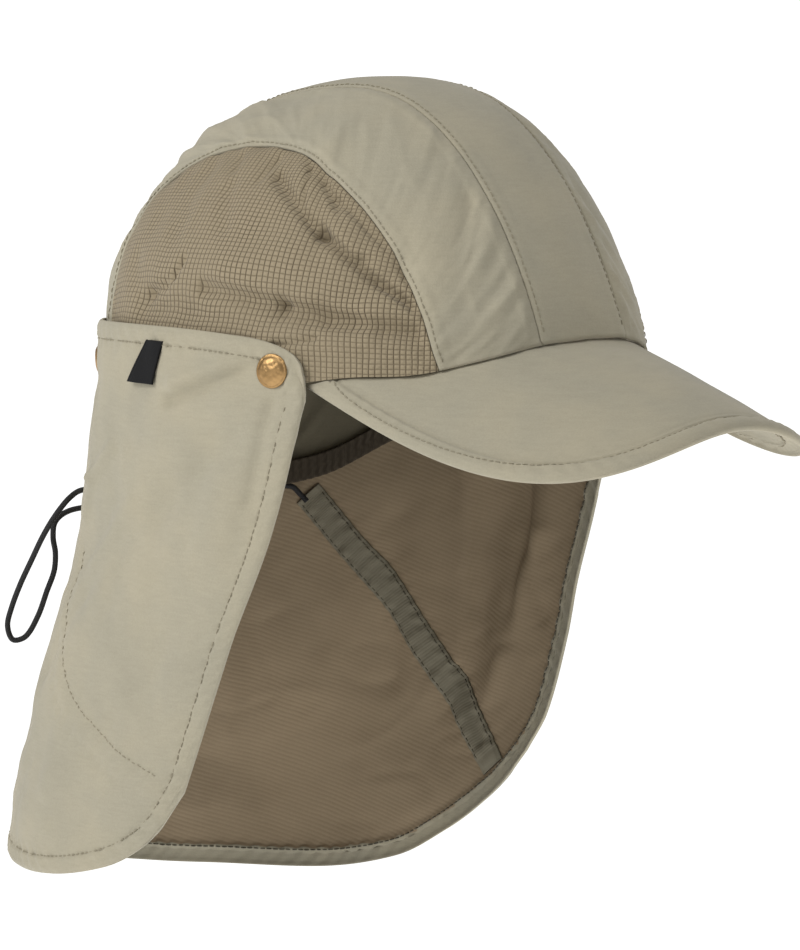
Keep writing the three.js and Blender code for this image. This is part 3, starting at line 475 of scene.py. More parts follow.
def unit(vectors):
    """The vectors with length 1."""
    return vectors / np.maximum(np.linalg.norm(vectors, axis=-1, keepdims=True), 1e-12)


def arc_of(line):
    """How far along a line of points each of them lies."""
    return np.concatenate([[0], np.cumsum(np.linalg.norm(np.diff(line, axis=0), axis=-1))])


def between(line, arc, at):
    """Points at places along a line whose own points lie at the places arc."""
    return np.stack([np.interp(at, arc, column) for column in line.T], axis=-1)


def puckers(arc, pitch, wander):
    """Waves along a seam, one for each pitch, moved to and fro by the wander."""
    return np.sin(2 * np.pi * arc / pitch + wander)


def curve(table, key, column, x):
    """A smooth curve through a column: a cubic between rows, with slopes from their neighbours."""
    xs = np.array(table[key], float)
    ys = np.array(table[column], float)
    last = len(xs) - 1
    low = np.maximum(np.arange(last + 1) - 1, 0)
    high = np.minimum(np.arange(last + 1) + 1, last)
    slopes = (ys[high] - ys[low]) / (xs[high] - xs[low])
    x = np.clip(x, xs[0], xs[-1])
    i = np.searchsorted(xs[1:-1], x)
    width = xs[i + 1] - xs[i]
    t = (x - xs[i]) / width
    return (
        (2 * t**3 - 3 * t**2 + 1) * ys[i]
        + (t**3 - 2 * t**2 + t) * width * slopes[i]
        + (3 * t**2 - 2 * t**3) * ys[i + 1]
        + (t**3 - t**2) * width * slopes[i + 1]
    )


def soft_noise(x, y, seed):
    """Smooth noise from -1 to 1: random values on a unit lattice, blended with smooth steps."""
    size = 64
    lattice = np.random.RandomState(seed).uniform(-1, 1, (size, size))
    i = np.floor(x).astype(int)
    j = np.floor(y).astype(int)
    s = rise(0, 1, x - i)
    t = rise(0, 1, y - j)
    here = mix(lattice[i % size, j % size], lattice[(i + 1) % size, j % size], s)
    there = mix(lattice[i % size, (j + 1) % size], lattice[(i + 1) % size, (j + 1) % size], s)
    return mix(here, there, t)


def crumple(x, y, size, seed):
    """Three layers of soft noise, each half the size and nearly half the height of the last."""
    total = 0
    for layer in range(3):
        step = size / 2**layer
        total = total + 0.45**layer * soft_noise(x / step + layer, y / step - layer, seed + layer)
    return total


def crease_depth(table, places, scale):
    """Rounded troughs along the rows' lines; scale turns the lines' ends into metres."""
    total = 0
    for x0, y0, x1, y1, depth, width in zip(*table.values()):
        start = np.array([x0, y0]) * scale
        line = np.array([x1, y1]) * scale - start
        away = places - start
        along = np.clip(dot(away, line) / np.sum(line * line), 0, 1)
        gap = np.linalg.norm(away - along[..., None] * line, axis=-1)
        total = total + depth * MM * bell(gap, width * MM)
    return total


# Crown


def rim_height(azimuth):
    """The rim's height at an azimuth in degrees: shares of its rise and of its drop."""
    rising, dropping = (curve(RIM, "azimuth", key, np.abs(azimuth)) for key in ("rise", "drop"))
    return crown().rim_rise * rising - crown().rim_drop * dropping


def roundness(frontness):
    """The dome's exponent, from the nape at -1 over the ears at 0 to the forehead at 1."""
    end = np.where(frontness > 0, crown().front_roundness, crown().back_roundness)
    return mix(crown().side_roundness, end, frontness**2)


def crown_shift(height):
    """How far back a height lies: the backset times its share, less the lean times its square."""
    share = np.clip(height / crown().height, 0, 1)
    return crown().backset * share - crown().lean * share**2


def crown_scale(frontness, height):
    """The plan's scale at a height: it closes as a superellipse, and tucks in below the temples."""
    n = roundness(frontness)
    share = np.clip(height / crown().height, 0, 1)
    dome = (1 - share**n) ** (1 / n)
    low = np.clip(-height / crown().rim_drop, 0, 1)
    tuck = 1 - crown().rear_tuck / crown().half_length * np.maximum(-frontness, 0) * low**2
    return np.where(height > 0, dome, tuck)


def crown_plain(azimuth, height):
    """A point of the crown before its lean: an ellipse about Z, scaled at its height."""
    a = np.radians(azimuth)
    scale = crown_scale(np.cos(a), height)
    x = crown().half_width * np.sin(a) * scale
    y = -crown().half_length * np.cos(a) * scale
    return np.stack(np.broadcast_arrays(x, y, height), axis=-1)


def crown_places(azimuth, height):
    """Places on the crown in metres, by azimuth and height, the same on both sides."""
    arc = math.radians(1) * crown().half_length
    return np.stack([np.abs(azimuth) * arc, height], axis=-1)


def crown_crease_scale():
    """What turns a crease's azimuth and share of the height into metres."""
    return np.array([math.radians(1) * crown().half_length, crown().height])


def onto_crown(points):
    """Points pushed out from the origin onto the dome, sunk where it is creased, and leant."""
    x = points[..., 0] / crown().half_width
    y = points[..., 1] / crown().half_length
    z = points[..., 2]
    level = np.maximum(np.hypot(x, y), 1e-9)
    frontness = -y / level
    n = roundness(frontness)
    reach = (level**n + (np.maximum(z, 0) / crown().height) ** n) ** (1 / n)
    factor = np.where(z > 0, 1 / reach, crown_scale(frontness, z) / level)
    onto = points * factor[..., None]
    places = crown_places(np.degrees(np.arctan2(x, -y)), onto[..., 2])
    sink = crease_depth(CROWN_CREASES, places, crown_crease_scale())
    onto = onto * (1 - sink / np.linalg.norm(onto, axis=-1))[..., None]
    onto[..., 1] += crown_shift(onto[..., 2])
    return onto


def crown_normal(points):
    """The dome's outward direction: the cross product of two small steps over it."""
    side = unit(np.cross(np.array([0.0, 0.0, 1.0]), points)) * MM
    over = unit(np.cross(points, side)) * MM
    middle = onto_crown(points)
    normal = unit(np.cross(onto_crown(points + side) - middle, onto_crown(points + over) - middle))
    return normal * np.sign(dot(normal, middle))[..., None]


def rim_point(azimuth):
    """The rim's point at an azimuth."""
    return crown_plain(azimuth, rim_height(azimuth))


def rim_azimuth(x, rear):
    """The azimuth at which the rim is x from the middle plane."""
    turn = np.degrees(np.arcsin(x / crown().half_width))
    return 180 - turn if rear else turn


def strip_seam(x, share):
    """A line over the dome at x from the middle plane, from the forehead at 0 to the nape at 1."""
    front = rim_point(rim_azimuth(x, False))
    back = rim_point(rim_azimuth(x, True))
    start = np.arctan2(front[..., 2] / crown().height, -front[..., 1] / crown().half_length)
    end = np.arctan2(back[..., 2] / crown().height, -back[..., 1] / crown().half_length)
    turn = mix(start, end + 2 * np.pi, share)
    level, high = np.cos(turn), np.sin(turn)
    across = x / crown().half_width
    n = roundness(level / np.hypot(across, level))
    reach = np.ones(np.broadcast(x, share).shape)
    for _ in range(SEEK_ROUNDS):
        plan = np.hypot(across, reach * level)
        dome = (plan**n + np.maximum(reach * high, 0) ** n) ** (1 / n)
        reach = reach + (1 - np.where(high > 0, dome, plan)) / 2
    y = -crown().half_length * level * reach
    z = crown().height * high * np.where(high > 0, reach, 1)
    line = np.stack(np.broadcast_arrays(x, y, z), axis=-1)
    line = np.where((share <= 0)[..., None], front, line)
    return np.where((share >= 1)[..., None], back, line)


def vent_seam(share, inset):
    """The vent's seam on the left, from the peak to the rear rim, moved towards its middle.

    Over its first and last stretch it runs straight into the rim.
    """
    inner = np.clip(share, SEAM_FOOT, 1 - SEAM_FOOT)
    azimuth = curve(VENT_SEAM, "place", "azimuth", inner)
    seam = crown_plain(azimuth, crown().height * curve(VENT_SEAM, "place", "height", inner))
    middle = crown_plain(VENT_MIDDLE["azimuth"], np.float64(VENT_MIDDLE["height"] * crown().height))
    seam = seam + unit(middle - seam) * inset
    foot = np.degrees(inset / crown().half_length)
    front = rim_point(VENT_SEAM["azimuth"][0] + foot)
    rear = rim_point(VENT_SEAM["azimuth"][-1] - foot)
    seam = mix(front, seam, np.clip(share / SEAM_FOOT, 0, 1)[..., None])
    return mix(rear, seam, np.clip((1 - share) / SEAM_FOOT, 0, 1)[..., None])


def strip_patch(u, v):
    """The centre strip before it is pushed onto the dome: x runs with u, the seam's share with v."""
    edge = crown().strip_half_width - crown().seam_gap / 2
    return strip_seam(mix(-edge, edge, u), v)


def panel_patch(u, v):
    """The side panel: a patch between the strip's seam at u = 0, the vent's at 1, and the rim."""
    edge = crown().strip_half_width + crown().seam_gap / 2
    gap = crown().seam_gap / 2
    foot = np.degrees(gap / crown().half_length)
    ends = VENT_SEAM["azimuth"][0] - foot, VENT_SEAM["azimuth"][-1] + foot
    zero = np.zeros_like(u)

    def front(s):
        return rim_point(mix(rim_azimuth(edge, False), ends[0], s))

    def rear(s):
        return rim_point(mix(rim_azimuth(edge, True), ends[1], s))

    u3, v3 = u[..., None], v[..., None]
    edges = mix(strip_seam(edge + zero, v), vent_seam(v, -gap), u3) + mix(front(u), rear(u), v3)
    corners = mix(mix(front(zero), front(zero + 1), u3), mix(rear(zero), rear(zero + 1), u3), v3)
    return edges - corners


def vent_patch(u, v):
    """The vent panel: straight lines from its seam at v = 0 to the rim at v = 1."""
    gap = crown().seam_gap / 2
    foot = np.degrees(gap / crown().half_length)
    ends = VENT_SEAM["azimuth"][0] + foot, VENT_SEAM["azimuth"][-1] - foot
    return mix(vent_seam(u, gap), rim_point(mix(ends[0], ends[1], u)), v[..., None])


def edge_roll(gap, radius):
    """How far a cloth's edge turns in: a quarter circle over the radius."""
    t = 1 - np.clip(gap / radius, 0, 1)
    return -radius * (1 - np.sqrt(np.maximum(1 - t**2, 0)))


def seam_relief(gap, arc, seed):
    """A sewn edge: it rolls in, swells over its allowance, and puckers at the stitch line."""
    swell = 0.28 * MM * plateau(gap, 0.4 * MM, 1.4 * MM, 4 * MM, 6.5 * MM)
    groove = -0.16 * MM * bell(gap - SEAM_STITCH, 0.45 * MM)
    wander = 2.5 * soft_noise(arc / (9 * MM), arc * 0, seed)
    pucker = 0.1 * MM * puckers(arc, 3.9 * MM, wander) * bell(gap - SEAM_STITCH, 2.2 * MM)
    return edge_roll(gap, crown().seam_roll) + swell + groove + pucker


def panel_gaps(patch, u, v):
    """The distances from the two long edges, taken straight across."""
    here = onto_crown(patch(u, v))
    near = np.linalg.norm(here - onto_crown(patch(np.zeros_like(u), v)), axis=-1)
    far = np.linalg.norm(here - onto_crown(patch(np.ones_like(u), v)), axis=-1)
    return near, far


def strip_relief(u, v, plain):
    """The centre strip's relief: two sewn edges and a slow, shallow unevenness."""
    near, far = panel_gaps(strip_patch, u, v)
    arc = v * 3 * crown().height
    slow = 0.35 * MM * crumple(plain[..., 0], arc, 26 * MM, 5)
    return seam_relief(near, arc, 11) + seam_relief(far, arc, 12) + slow


def panel_relief(u, v, plain):
    """The side panel's relief: sewn edges, and slanting folds that run in from both seams."""
    near, far = panel_gaps(panel_patch, u, v)
    arc = v * 3 * crown().height
    slant = arc + 0.55 * near
    folds = soft_noise(slant / (11 * MM), near / (34 * MM), 21)
    fine = soft_noise(slant / (4.6 * MM) + 3, near / (17 * MM), 22)
    fine = fine + 0.5 * soft_noise(slant / (1.7 * MM) + 5, near / (9 * MM), 25)
    sharp = 1 - np.abs(soft_noise(slant / (15 * MM) + 7, near / (42 * MM), 23))
    patchy = 0.45 + 0.55 * rise(-0.4, 0.6, soft_noise(arc / (38 * MM), near / (30 * MM), 24))
    inner = rise(0, 5 * MM, near) * rise(0, 4 * MM, far)
    folded = (1.4 * folds + 0.5 * fine + 1.0 * sharp**4) * MM * patchy * inner
    return seam_relief(near, arc, 13) + seam_relief(far, arc, 14) + folded


def vent_relief(u, v, plain):
    """The vent's relief: creases, gathers below the seam, and a rolled edge at the seam."""
    here = onto_crown(plain)
    seam = onto_crown(vent_patch(u, np.zeros_like(v)))
    gap = np.linalg.norm(here - seam, axis=-1)
    places = crown_places(crown_azimuth(plain), plain[..., 2])
    creased = -1.8 * crease_depth(VENT_CREASES, places, crown_crease_scale())
    arc = u * 2.6 * crown().height
    gathers = 0.55 * MM * soft_noise(arc / (5.2 * MM), gap / (16 * MM), 31) * bell(gap, 13 * MM)
    loose = 1.0 * MM * crumple(places[..., 0], places[..., 1], 19 * MM, 32)
    calm = rise(0.3 * MM, 5 * MM, gap)
    rolled = edge_roll(gap, crown().seam_roll) - 0.35 * MM * bell(gap, 1.5 * MM)
    relief = creased * calm + gathers + loose * calm
    held = relief / (1 + np.maximum(relief, 0) / VENT_MOST)
    return held + rolled


def crown_azimuth(plain):
    """The azimuth of points of the crown before its lean."""
    x = plain[..., 0] / crown().half_width
    y = plain[..., 1] / crown().half_length
    return np.degrees(np.arctan2(x, -y))


def crown_cloth_map(plain):
    """Cloth coordinates in metres: along the side, and up over the dome.

    Lines across stand upright as planes square to the middle plane, and close in a little
    towards the top; lines along follow the arc of a circle up the side.
    """
    azimuth = np.radians(crown_azimuth(plain))
    frontness = np.cos(azimuth)
    scale = crown_scale(frontness, plain[..., 2])
    turn = np.arccos(np.clip(frontness * scale**0.6, -1, 1))
    share = np.clip(plain[..., 2] / crown().height, -1, 1)
    side = (crown().half_width + crown().height) / 2
    return np.stack([turn * crown().half_length, side * np.arcsin(share)], axis=-1)


def crown_surface(patch, relief, sign, u, v):
    """Points of a crown panel with its relief, and the dome's outward directions there."""
    plain = patch(u, v)
    normals = crown_normal(plain)
    points = onto_crown(plain) + normals * relief(u, v, plain)[..., None]
    mirror = np.array([sign, 1, 1])
    return points * mirror, normals * mirror


# The crown's panels: places, relief, slot and outer finish
PANELS = {
    "strip": (strip_patch, strip_relief, "crown_cloth", "sage cloth"),
    "side": (panel_patch, panel_relief, "crown_cloth", "sage cloth"),
    "vent": (vent_patch, vent_relief, "vent_cloth", "vent check cloth"),
}


# Meshes


def spaced(reach, step, marks=()):
    """Parameters from 0 to 1 about a step apart, with extra lines near both ends."""
    count = max(int(round(reach / step)), 2)
    marks = [mark * MM / reach for mark in marks]
    plain = np.linspace(0, 1, count + 1)
    clear = (marks[-1] if marks else 0) + 0.3 / count
    inner = plain[(plain > clear) & (plain < 1 - clear)]
    return np.array([0.0, *marks, *inner, *[1 - m for m in reversed(marks)], 1.0])


def grid(us, vs):
    """Two arrays that hold each pair of parameters."""
    return np.meshgrid(us, vs, indexing="ij")


def grid_normals(points):
    """The directions square to a grid: the cross product of its two slopes."""
    return unit(np.cross(np.gradient(points, axis=0), np.gradient(points, axis=1)))


def make_mesh(name, corners, faces, cloth=None, finishes=None):
    """A mesh from corner points and faces, with smooth shading, a cloth map and finish numbers."""
    mesh = bpy.data.meshes.new(name)
    corners = np.asarray(corners, float).reshape(-1, 3)
    loops = np.concatenate([f.ravel() for f in faces]).astype(np.int32)
    totals = np.concatenate([np.full(len(f), f.shape[1]) for f in faces]).astype(np.int32)
    starts = np.concatenate([[0], np.cumsum(totals)[:-1]]).astype(np.int32)
    mesh.vertices.add(len(corners))
    mesh.vertices.foreach_set("co", corners.ravel())
    mesh.loops.add(len(loops))
    mesh.loops.foreach_set("vertex_index", loops)
    mesh.polygons.add(len(totals))
    mesh.polygons.foreach_set("loop_start", starts)
    mesh.polygons.foreach_set("loop_total", totals)
    if finishes is not None:
        mesh.polygons.foreach_set("material_index", finishes.astype(np.int32))
    mesh.update(calc_edges=True)
    mesh.polygons.foreach_set("use_smooth", np.ones(len(totals), bool))
    if cloth is not None:
        layer = mesh.uv_layers.new(name="cloth")
        layer.uv.foreach_set("vector", np.asarray(cloth).reshape(-1, 2)[loops].ravel())
    if mesh.validate():
        raise RuntimeError(f"{name} has a face that Blender refused")
    piece = bpy.data.objects.new(name, mesh)
    bpy.context.scene.collection.objects.link(piece)
    return piece


def cells(rows, columns, offset=0):
    """The four corners of each cell of a grid whose points are numbered row by row."""
    i, j = grid(np.arange(rows - 1), np.arange(columns - 1))
    a = i * columns + j + offset
    return np.stack([a, a + columns, a + columns + 1, a + 1], axis=-1).reshape(-1, 4)


def wall(name, outer, inner, cloth, finishes=None, hole=None):
    """A closed wall between two grids, with an optional rectangular hole in its cells.

    finishes gives each cell's finish numbers, on the outer and on the inner face.
    """
    rows, columns = outer.shape[:2]
    layer = rows * columns
    face = cells(rows, columns)
    keep = np.ones((rows - 1, columns - 1), bool)
    ring = np.arange(layer).reshape(rows, columns)
    border = np.concatenate([ring[0, :], ring[1:, -1], ring[-1, -2::-1], ring[-2::-1, 0]])
    borders = [border]
    if hole:
        i0, i1, j0, j1 = hole
        keep[i0:i1, j0:j1] = False
        cut = ring[i0 : i1 + 1, j0 : j1 + 1]
        borders.append(np.concatenate([cut[:, 0], cut[-1, 1:], cut[-2::-1, -1], cut[0, -2::-1]]))
    keep = keep.ravel()
    front = face[keep]
    sides = [
        np.stack([b[:-1], b[1:], b[1:] + layer, b[:-1] + layer], axis=-1) for b in borders
    ]
    faces = np.concatenate([front, front[:, ::-1] + layer, *sides])
    corners = np.concatenate([outer.reshape(-1, 3), inner.reshape(-1, 3)])
    a, b, c, d = (corners[faces[:, k]] for k in range(4))
    volume = np.sum(dot(a, np.cross(b, c)) + dot(a, np.cross(c, d)))
    if volume < 0:
        faces = faces[:, ::-1]
    numbers = None
    if finishes is not None:
        over, under = (f[:-1, :-1].ravel()[keep] for f in finishes)
        numbers = np.concatenate([over, under, np.zeros(sum(len(s) for s in sides), int)])
    maps = np.concatenate([cloth.reshape(-1, 2), cloth.reshape(-1, 2)])
    return make_mesh(name, corners, [faces], maps, numbers)


def hoop(sides, first, second):
    """Directions round a circle, from the first direction towards the second."""
    turn = (2 * np.pi * np.arange(sides) / sides)[:, None]
    return np.cos(turn) * first[..., None, :] + np.sin(turn) * second[..., None, :]


def hoop_faces(hoops, sides):
    """The faces between hoops of points that follow each other, and the two that close them."""
    j = np.arange(sides)
    i = np.arange(hoops - 1)[:, None]
    a, b = i * sides + j, i * sides + (j + 1) % sides
    quads = np.stack([a, b, b + sides, a + sides], axis=-1).reshape(-1, 4)
    return quads, np.stack([j[::-1], (hoops - 1) * sides + j])


def tube(name, path, radius, sides, round_it):
    """A round tube along a path, with closed ends: circles square to it, turned as little as can be.

    round_it is how far the cloth map runs on the way round.
    """
    tangents = unit(np.gradient(path, axis=0))
    normal = unit(np.cross(tangents[0], np.array([0.3, 0.2, 1.0])))
    normals = []
    for tangent in tangents:
        normal = unit(normal - tangent * np.dot(normal, tangent))
        normals.append(normal)
    normals = np.array(normals)
    shell = path[:, None, :] + radius * hoop(sides, normals, np.cross(tangents, normals))
    around = round_it * np.arange(sides) / sides
    cloth = np.stack(np.broadcast_arrays(arc_of(path)[:, None], around), axis=-1)
    return make_mesh(name, shell, hoop_faces(len(path), sides), cloth)


def spun(name, profile, centre, axis, sides):
    """A profile of radius and height spun about an axis, closed at its poles by small discs."""
    axis = unit(np.asarray(axis))
    side = unit(np.cross(axis, np.array([0.0, 0.13, 1.0])))
    radii = np.maximum(profile[:, 0], POLE_RADIUS)
    shell = centre + radii[:, None, None] * hoop(sides, side, np.cross(axis, side))
    shell = shell + profile[:, 1][:, None, None] * axis
    return make_mesh(name, shell, hoop_faces(len(profile), sides), shell[..., :2] * 0)


def stitches(name, rows, pitch=2.35 * MM, span=2.0 * MM, thread=0.42 * MM):
    """Rows of stitches: each a small six-sided spindle that dives into the cloth at both ends.

    rows holds pairs of a line's points and the directions out of the cloth there.
    """
    along, lift, radius = (np.array(STITCH[key]) for key in ("along", "lift", "radius"))
    corners = []
    for points, normals in rows:
        arc = arc_of(points)
        places = np.arange(pitch * 0.7, arc[-1] - pitch * 0.5, pitch)
        ahead = between(points, arc, places + span / 2)
        tangent = unit(ahead - between(points, arc, places - span / 2))[:, None]
        out = unit(between(normals, arc, places))[:, None]
        middle = between(points, arc, places)[:, None] + (along * span)[:, None] * tangent
        middle = middle + (lift * thread)[:, None] * out
        ring = hoop(STITCH_SIDES, np.cross(tangent, out), out)
        corners.append(middle[:, :, None] + (radius * thread)[:, None, None] * ring)
    corners = np.concatenate(corners)
    first = np.arange(len(corners))[:, None, None] * len(along) * STITCH_SIDES
    faces = [first + f[:, ::-1] for f in hoop_faces(len(along), STITCH_SIDES)]
    faces = [f.reshape(-1, f.shape[-1]) for f in faces]
    corners = corners.reshape(-1, 3)
    return make_mesh(name, corners, faces, corners[:, :2] * 0)


def edge_distance(points, line):
    """For each point the distance to a line of points, and how far along it that is."""
    arc = arc_of(line)
    best = np.full(points.shape[:-1], np.inf)
    place = np.zeros(points.shape[:-1])
    for k, step in enumerate(np.diff(line, axis=0)):
        away = points - line[k]
        t = np.clip(dot(away, step) / max(np.dot(step, step), 1e-12), 0, 1)
        gap = np.linalg.norm(away - t[..., None] * step, axis=-1)
        closer = gap < best
        best = np.where(closer, gap, best)
        place = np.where(closer, mix(arc[k], arc[k + 1], t), place)
    return best, place


def dress(piece, slot, nodes, *finishes):
    """Rides the piece on the cap, hides the CAD parts that it stands for, and gives it its finishes by
    name; slot is not used.
    """
    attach(piece, BODY)
    if nodes:
        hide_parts(*nodes)
    for name in finishes:
        piece.data.materials.append(material(name))


# Flap


def flap_top(across):
    """The top edge's height: level, lower at the nape, and rounded down at the front corners."""
    at = np.clip(np.abs(across), 0, 1)
    corner = (1 - at ** flap().corner) ** (1 / flap().corner)
    return mix(flap().front_top, flap().top, corner) - flap().top_back * (1 - at)


def flap_bottom(across):
    """The hem's height."""
    return -flap().drop * curve(FLAP_HEM, "across", "drop", across)


def flap_fold(across, down):
    """Soft folds: ridges and troughs that drift down the cloth and die away at both ends."""
    total = 0
    for row in rows_of(FLAP_FOLDS):
        begins, ends = row["from"], row["to"]
        soft = (ends - begins) * flap().fold_softness
        here = plateau(down, begins, begins + soft, ends - soft, ends)
        middle = row["across"] + row["drift"] * (down - begins)
        total = total + row["depth"] * MM * here * bell(across - middle, row["width"])
    return total


def snap_nearness(across, height):
    """1 at a snap, and 0 from two diameters away."""
    near = 0
    arc = flap().span * crown().half_length
    wide = flap().snap_diameter
    for row in rows_of(SNAPS):
        middle = flap_top(row["across"]) - row["below"] * MM
        away = np.hypot((np.abs(across) - row["across"]) * arc, height - middle)
        near = np.maximum(near, 1 - rise(0.7 * wide, 2 * wide, away))
    return near


def flap_span(across, down):
    """The half angle that the flap spans on the side of a place across."""
    right = curve(FLAP_EDGE, "down", "right", down)
    left = curve(FLAP_EDGE, "down", "left", down)
    return flap().span * mix(right, left, rise(-0.5, 0.5, across))


def flap_plane(across, down):
    """The flap rolled out flat: along the head from the nape, and height, in metres."""
    height = mix(flap_top(across), flap_bottom(across), down)
    return np.stack([across * flap_span(across, down) * crown().half_length, height], axis=-1)


def flap_point(across, down):
    """The smooth outer face: the crown's plan, widened, folded and swept back with the drop."""
    plane = flap_plane(across, down)
    turn, height = plane[..., 0] / crown().half_length, plane[..., 1]
    low = np.maximum(-height / flap().drop, 0)
    azimuth = 180 - np.abs(np.degrees(turn))
    scale = np.where(height > 0, crown_scale(np.cos(np.radians(azimuth)), height), 1)
    fold = flap_fold(across, down)
    free = rise(0, flap().free_drop, rim_height(azimuth) - height)
    loose = flap().standoff + np.where(fold < 0, fold * free, fold)
    out = flap().face + loose * (1 - snap_nearness(across, height)) + flap().splay * low
    x = (crown().half_width * scale + out) * np.sin(turn)
    y = (crown().half_length * scale + out) * np.cos(turn)
    sweep = flap().sweep * curve(FLAP_SWEEP, "low", "sweep", low)
    return np.stack([x, y + crown_shift(height) + sweep, height], axis=-1)


def flap_normal(across, down):
    """The smooth outward direction, from two small steps."""
    step = 0.004
    along = flap_point(across + step, down) - flap_point(across - step, down)
    below = flap_point(across, down + step) - flap_point(across, down - step)
    return unit(np.cross(along, below))


def flap_place(plane):
    """The places across and down that lie at places of the flat flap, closed in on by rounds."""
    turn, height = plane[..., 0] / crown().half_length, plane[..., 1]
    across = turn / flap().span
    for _ in range(SEEK_ROUNDS):
        top = flap_top(across)
        down = (top - height) / (top - flap_bottom(across))
        across = np.clip(turn / flap_span(across, down), -1, 1)
    return across, down


def flap_outline():
    """The flat flap's edge as a closed line: top, left, hem, right."""
    along = np.linspace(-1, 1, 91)
    down = np.linspace(0, 1, 41)
    ones = np.ones_like(down)
    return np.concatenate([
        flap_plane(along, along * 0),
        flap_plane(ones, down)[1:],
        flap_plane(along[::-1], along * 0 + 1)[1:],
        flap_plane(-ones, down[::-1])[1:],
    ])


def hem_relief(gap, arc, seed):
    """A folded hem: it rolls in, stands up to its stitch groove, and is roped by slant puckers."""
    hem = flap().hem
    stitch = hem - HEM_STITCH
    raised = 0.6 * MM * plateau(gap, 0.2 * MM, 2 * MM, stitch, hem + 0.6 * MM)
    groove = -0.62 * MM * bell(gap - stitch, 0.65 * MM)
    beside = 0.12 * MM * bell(gap - stitch - 2.4 * MM, 1.2 * MM)
    wander = 2.2 * soft_noise(arc / (14 * MM), gap / (30 * MM), seed)
    strength = 0.55 + 0.45 * soft_noise(arc / (22 * MM) + 9, arc * 0, seed + 1)
    reach = plateau(gap, 0, 2 * MM, hem, hem + 3.2 * MM)
    rope = 0.5 * MM * strength * puckers(arc + 0.8 * gap, 6.4 * MM, wander) * reach
    return raised + groove + beside + rope + edge_roll(gap, HEM_ROLL)


def flap_relief(across, down):
    """The flap's relief, and the distance from its edge: hem, creases, and an uneven hang."""
    plane = flap_plane(across, down)
    gap, arc = edge_distance(plane, flap_outline())
    x, height = plane[..., 0], plane[..., 1]
    scale = np.array([math.radians(1) * crown().half_length, MM])
    creased = crease_depth(FLAP_CREASES, plane, scale)
    hang = 1.4 * MM * crumple(x + 0.12 * height, height * 0.45, 30 * MM, 41)
    dents = 0.5 * MM * crumple(x, height, 15 * MM, 44)
    along, below = (x + 0.5 * height) / (26 * MM), (height - 0.2 * x) / (17 * MM)
    ridges = 1 - np.abs(soft_noise(along, below, 42))
    along, below = (x - 0.7 * height) / (34 * MM) + 4, height / (22 * MM)
    sharp = 1 - np.abs(soft_noise(along, below, 43))
    patchy = rise(-0.5, 0.7, soft_noise(x / (46 * MM), height / (38 * MM), 45))
    crinkle = (0.6 * ridges**5 - 0.5 * sharp**6) * MM * patchy
    inner = creased + casing_imprint(plane) + crinkle + hang + dents
    return hem_relief(gap, arc, 47) + rise(2 * MM, 16 * MM, gap) * inner, gap


def flap_face(across, down):
    """The flap's outer face with its relief, the outward direction, and the gap from its edge."""
    relief, gap = flap_relief(across, down)
    normal = flap_normal(across, down)
    return flap_point(across, down) + normal * relief[..., None], normal, gap


def casing_line(hand, count=60):
    """A casing's centre line on the flat flap, from the front hem to the nape."""
    rows = CASINGS[hand]
    share = np.linspace(0, 1, count)
    turn = HANDS[hand] * np.radians(curve(rows, "share", "angle", share))
    below = curve(rows, "share", "below", share) * MM
    return np.stack([turn * crown().half_length, -below], axis=-1)


def casing_imprint(plane):
    """What shows outside where a casing is sewn inside: thin grooves and a low ridge between."""
    total = 0
    for hand in HANDS:
        gap, arc = edge_distance(plane, casing_line(hand))
        off = gap - flap().casing_width / 2 + CASING_STITCH
        groove = -0.34 * MM * bell(off, 0.8 * MM)
        pucker = 0.2 * MM * puckers(arc, 5.6 * MM, gap * 300) * bell(off, 3 * MM)
        total = total + groove + pucker + 0.3 * MM * bell(gap, 3 * MM)
    return total


def flat_offset(line, inset):
    """A line on the flat flap moved sideways, to its right as it runs; crossings are left out."""
    along = unit(np.gradient(line, axis=0))
    moved = line + inset * np.stack([along[:, 1], -along[:, 0]], axis=-1)
    gap, _ = edge_distance(moved, line)
    return moved[gap > 0.97 * abs(inset)]


def flap_row(line, depth):
    """A stitched row on the flap along a line of its flat form: outside at 0, else that deep."""
    across, down = flap_place(line)
    points, normals, _ = flap_face(across, down)
    if depth == 0:
        return points, normals
    return points - normals * depth, -normals


# Finishes


class Value:
    """A shader socket that takes part in Python sums."""

    def __init__(self, finish, socket):
        self.finish = finish
        self.socket = socket

    def __add__(self, other):
        return self.finish.math("ADD", self, other)

    def __radd__(self, other):
        return self.finish.math("ADD", other, self)

    def __sub__(self, other):
        return self.finish.math("SUBTRACT", self, other)

    def __rsub__(self, other):
        return self.finish.math("SUBTRACT", other, self)

    def __mul__(self, other):
        return self.finish.math("MULTIPLY", self, other)

    def __rmul__(self, other):
        return self.finish.math("MULTIPLY", other, self)


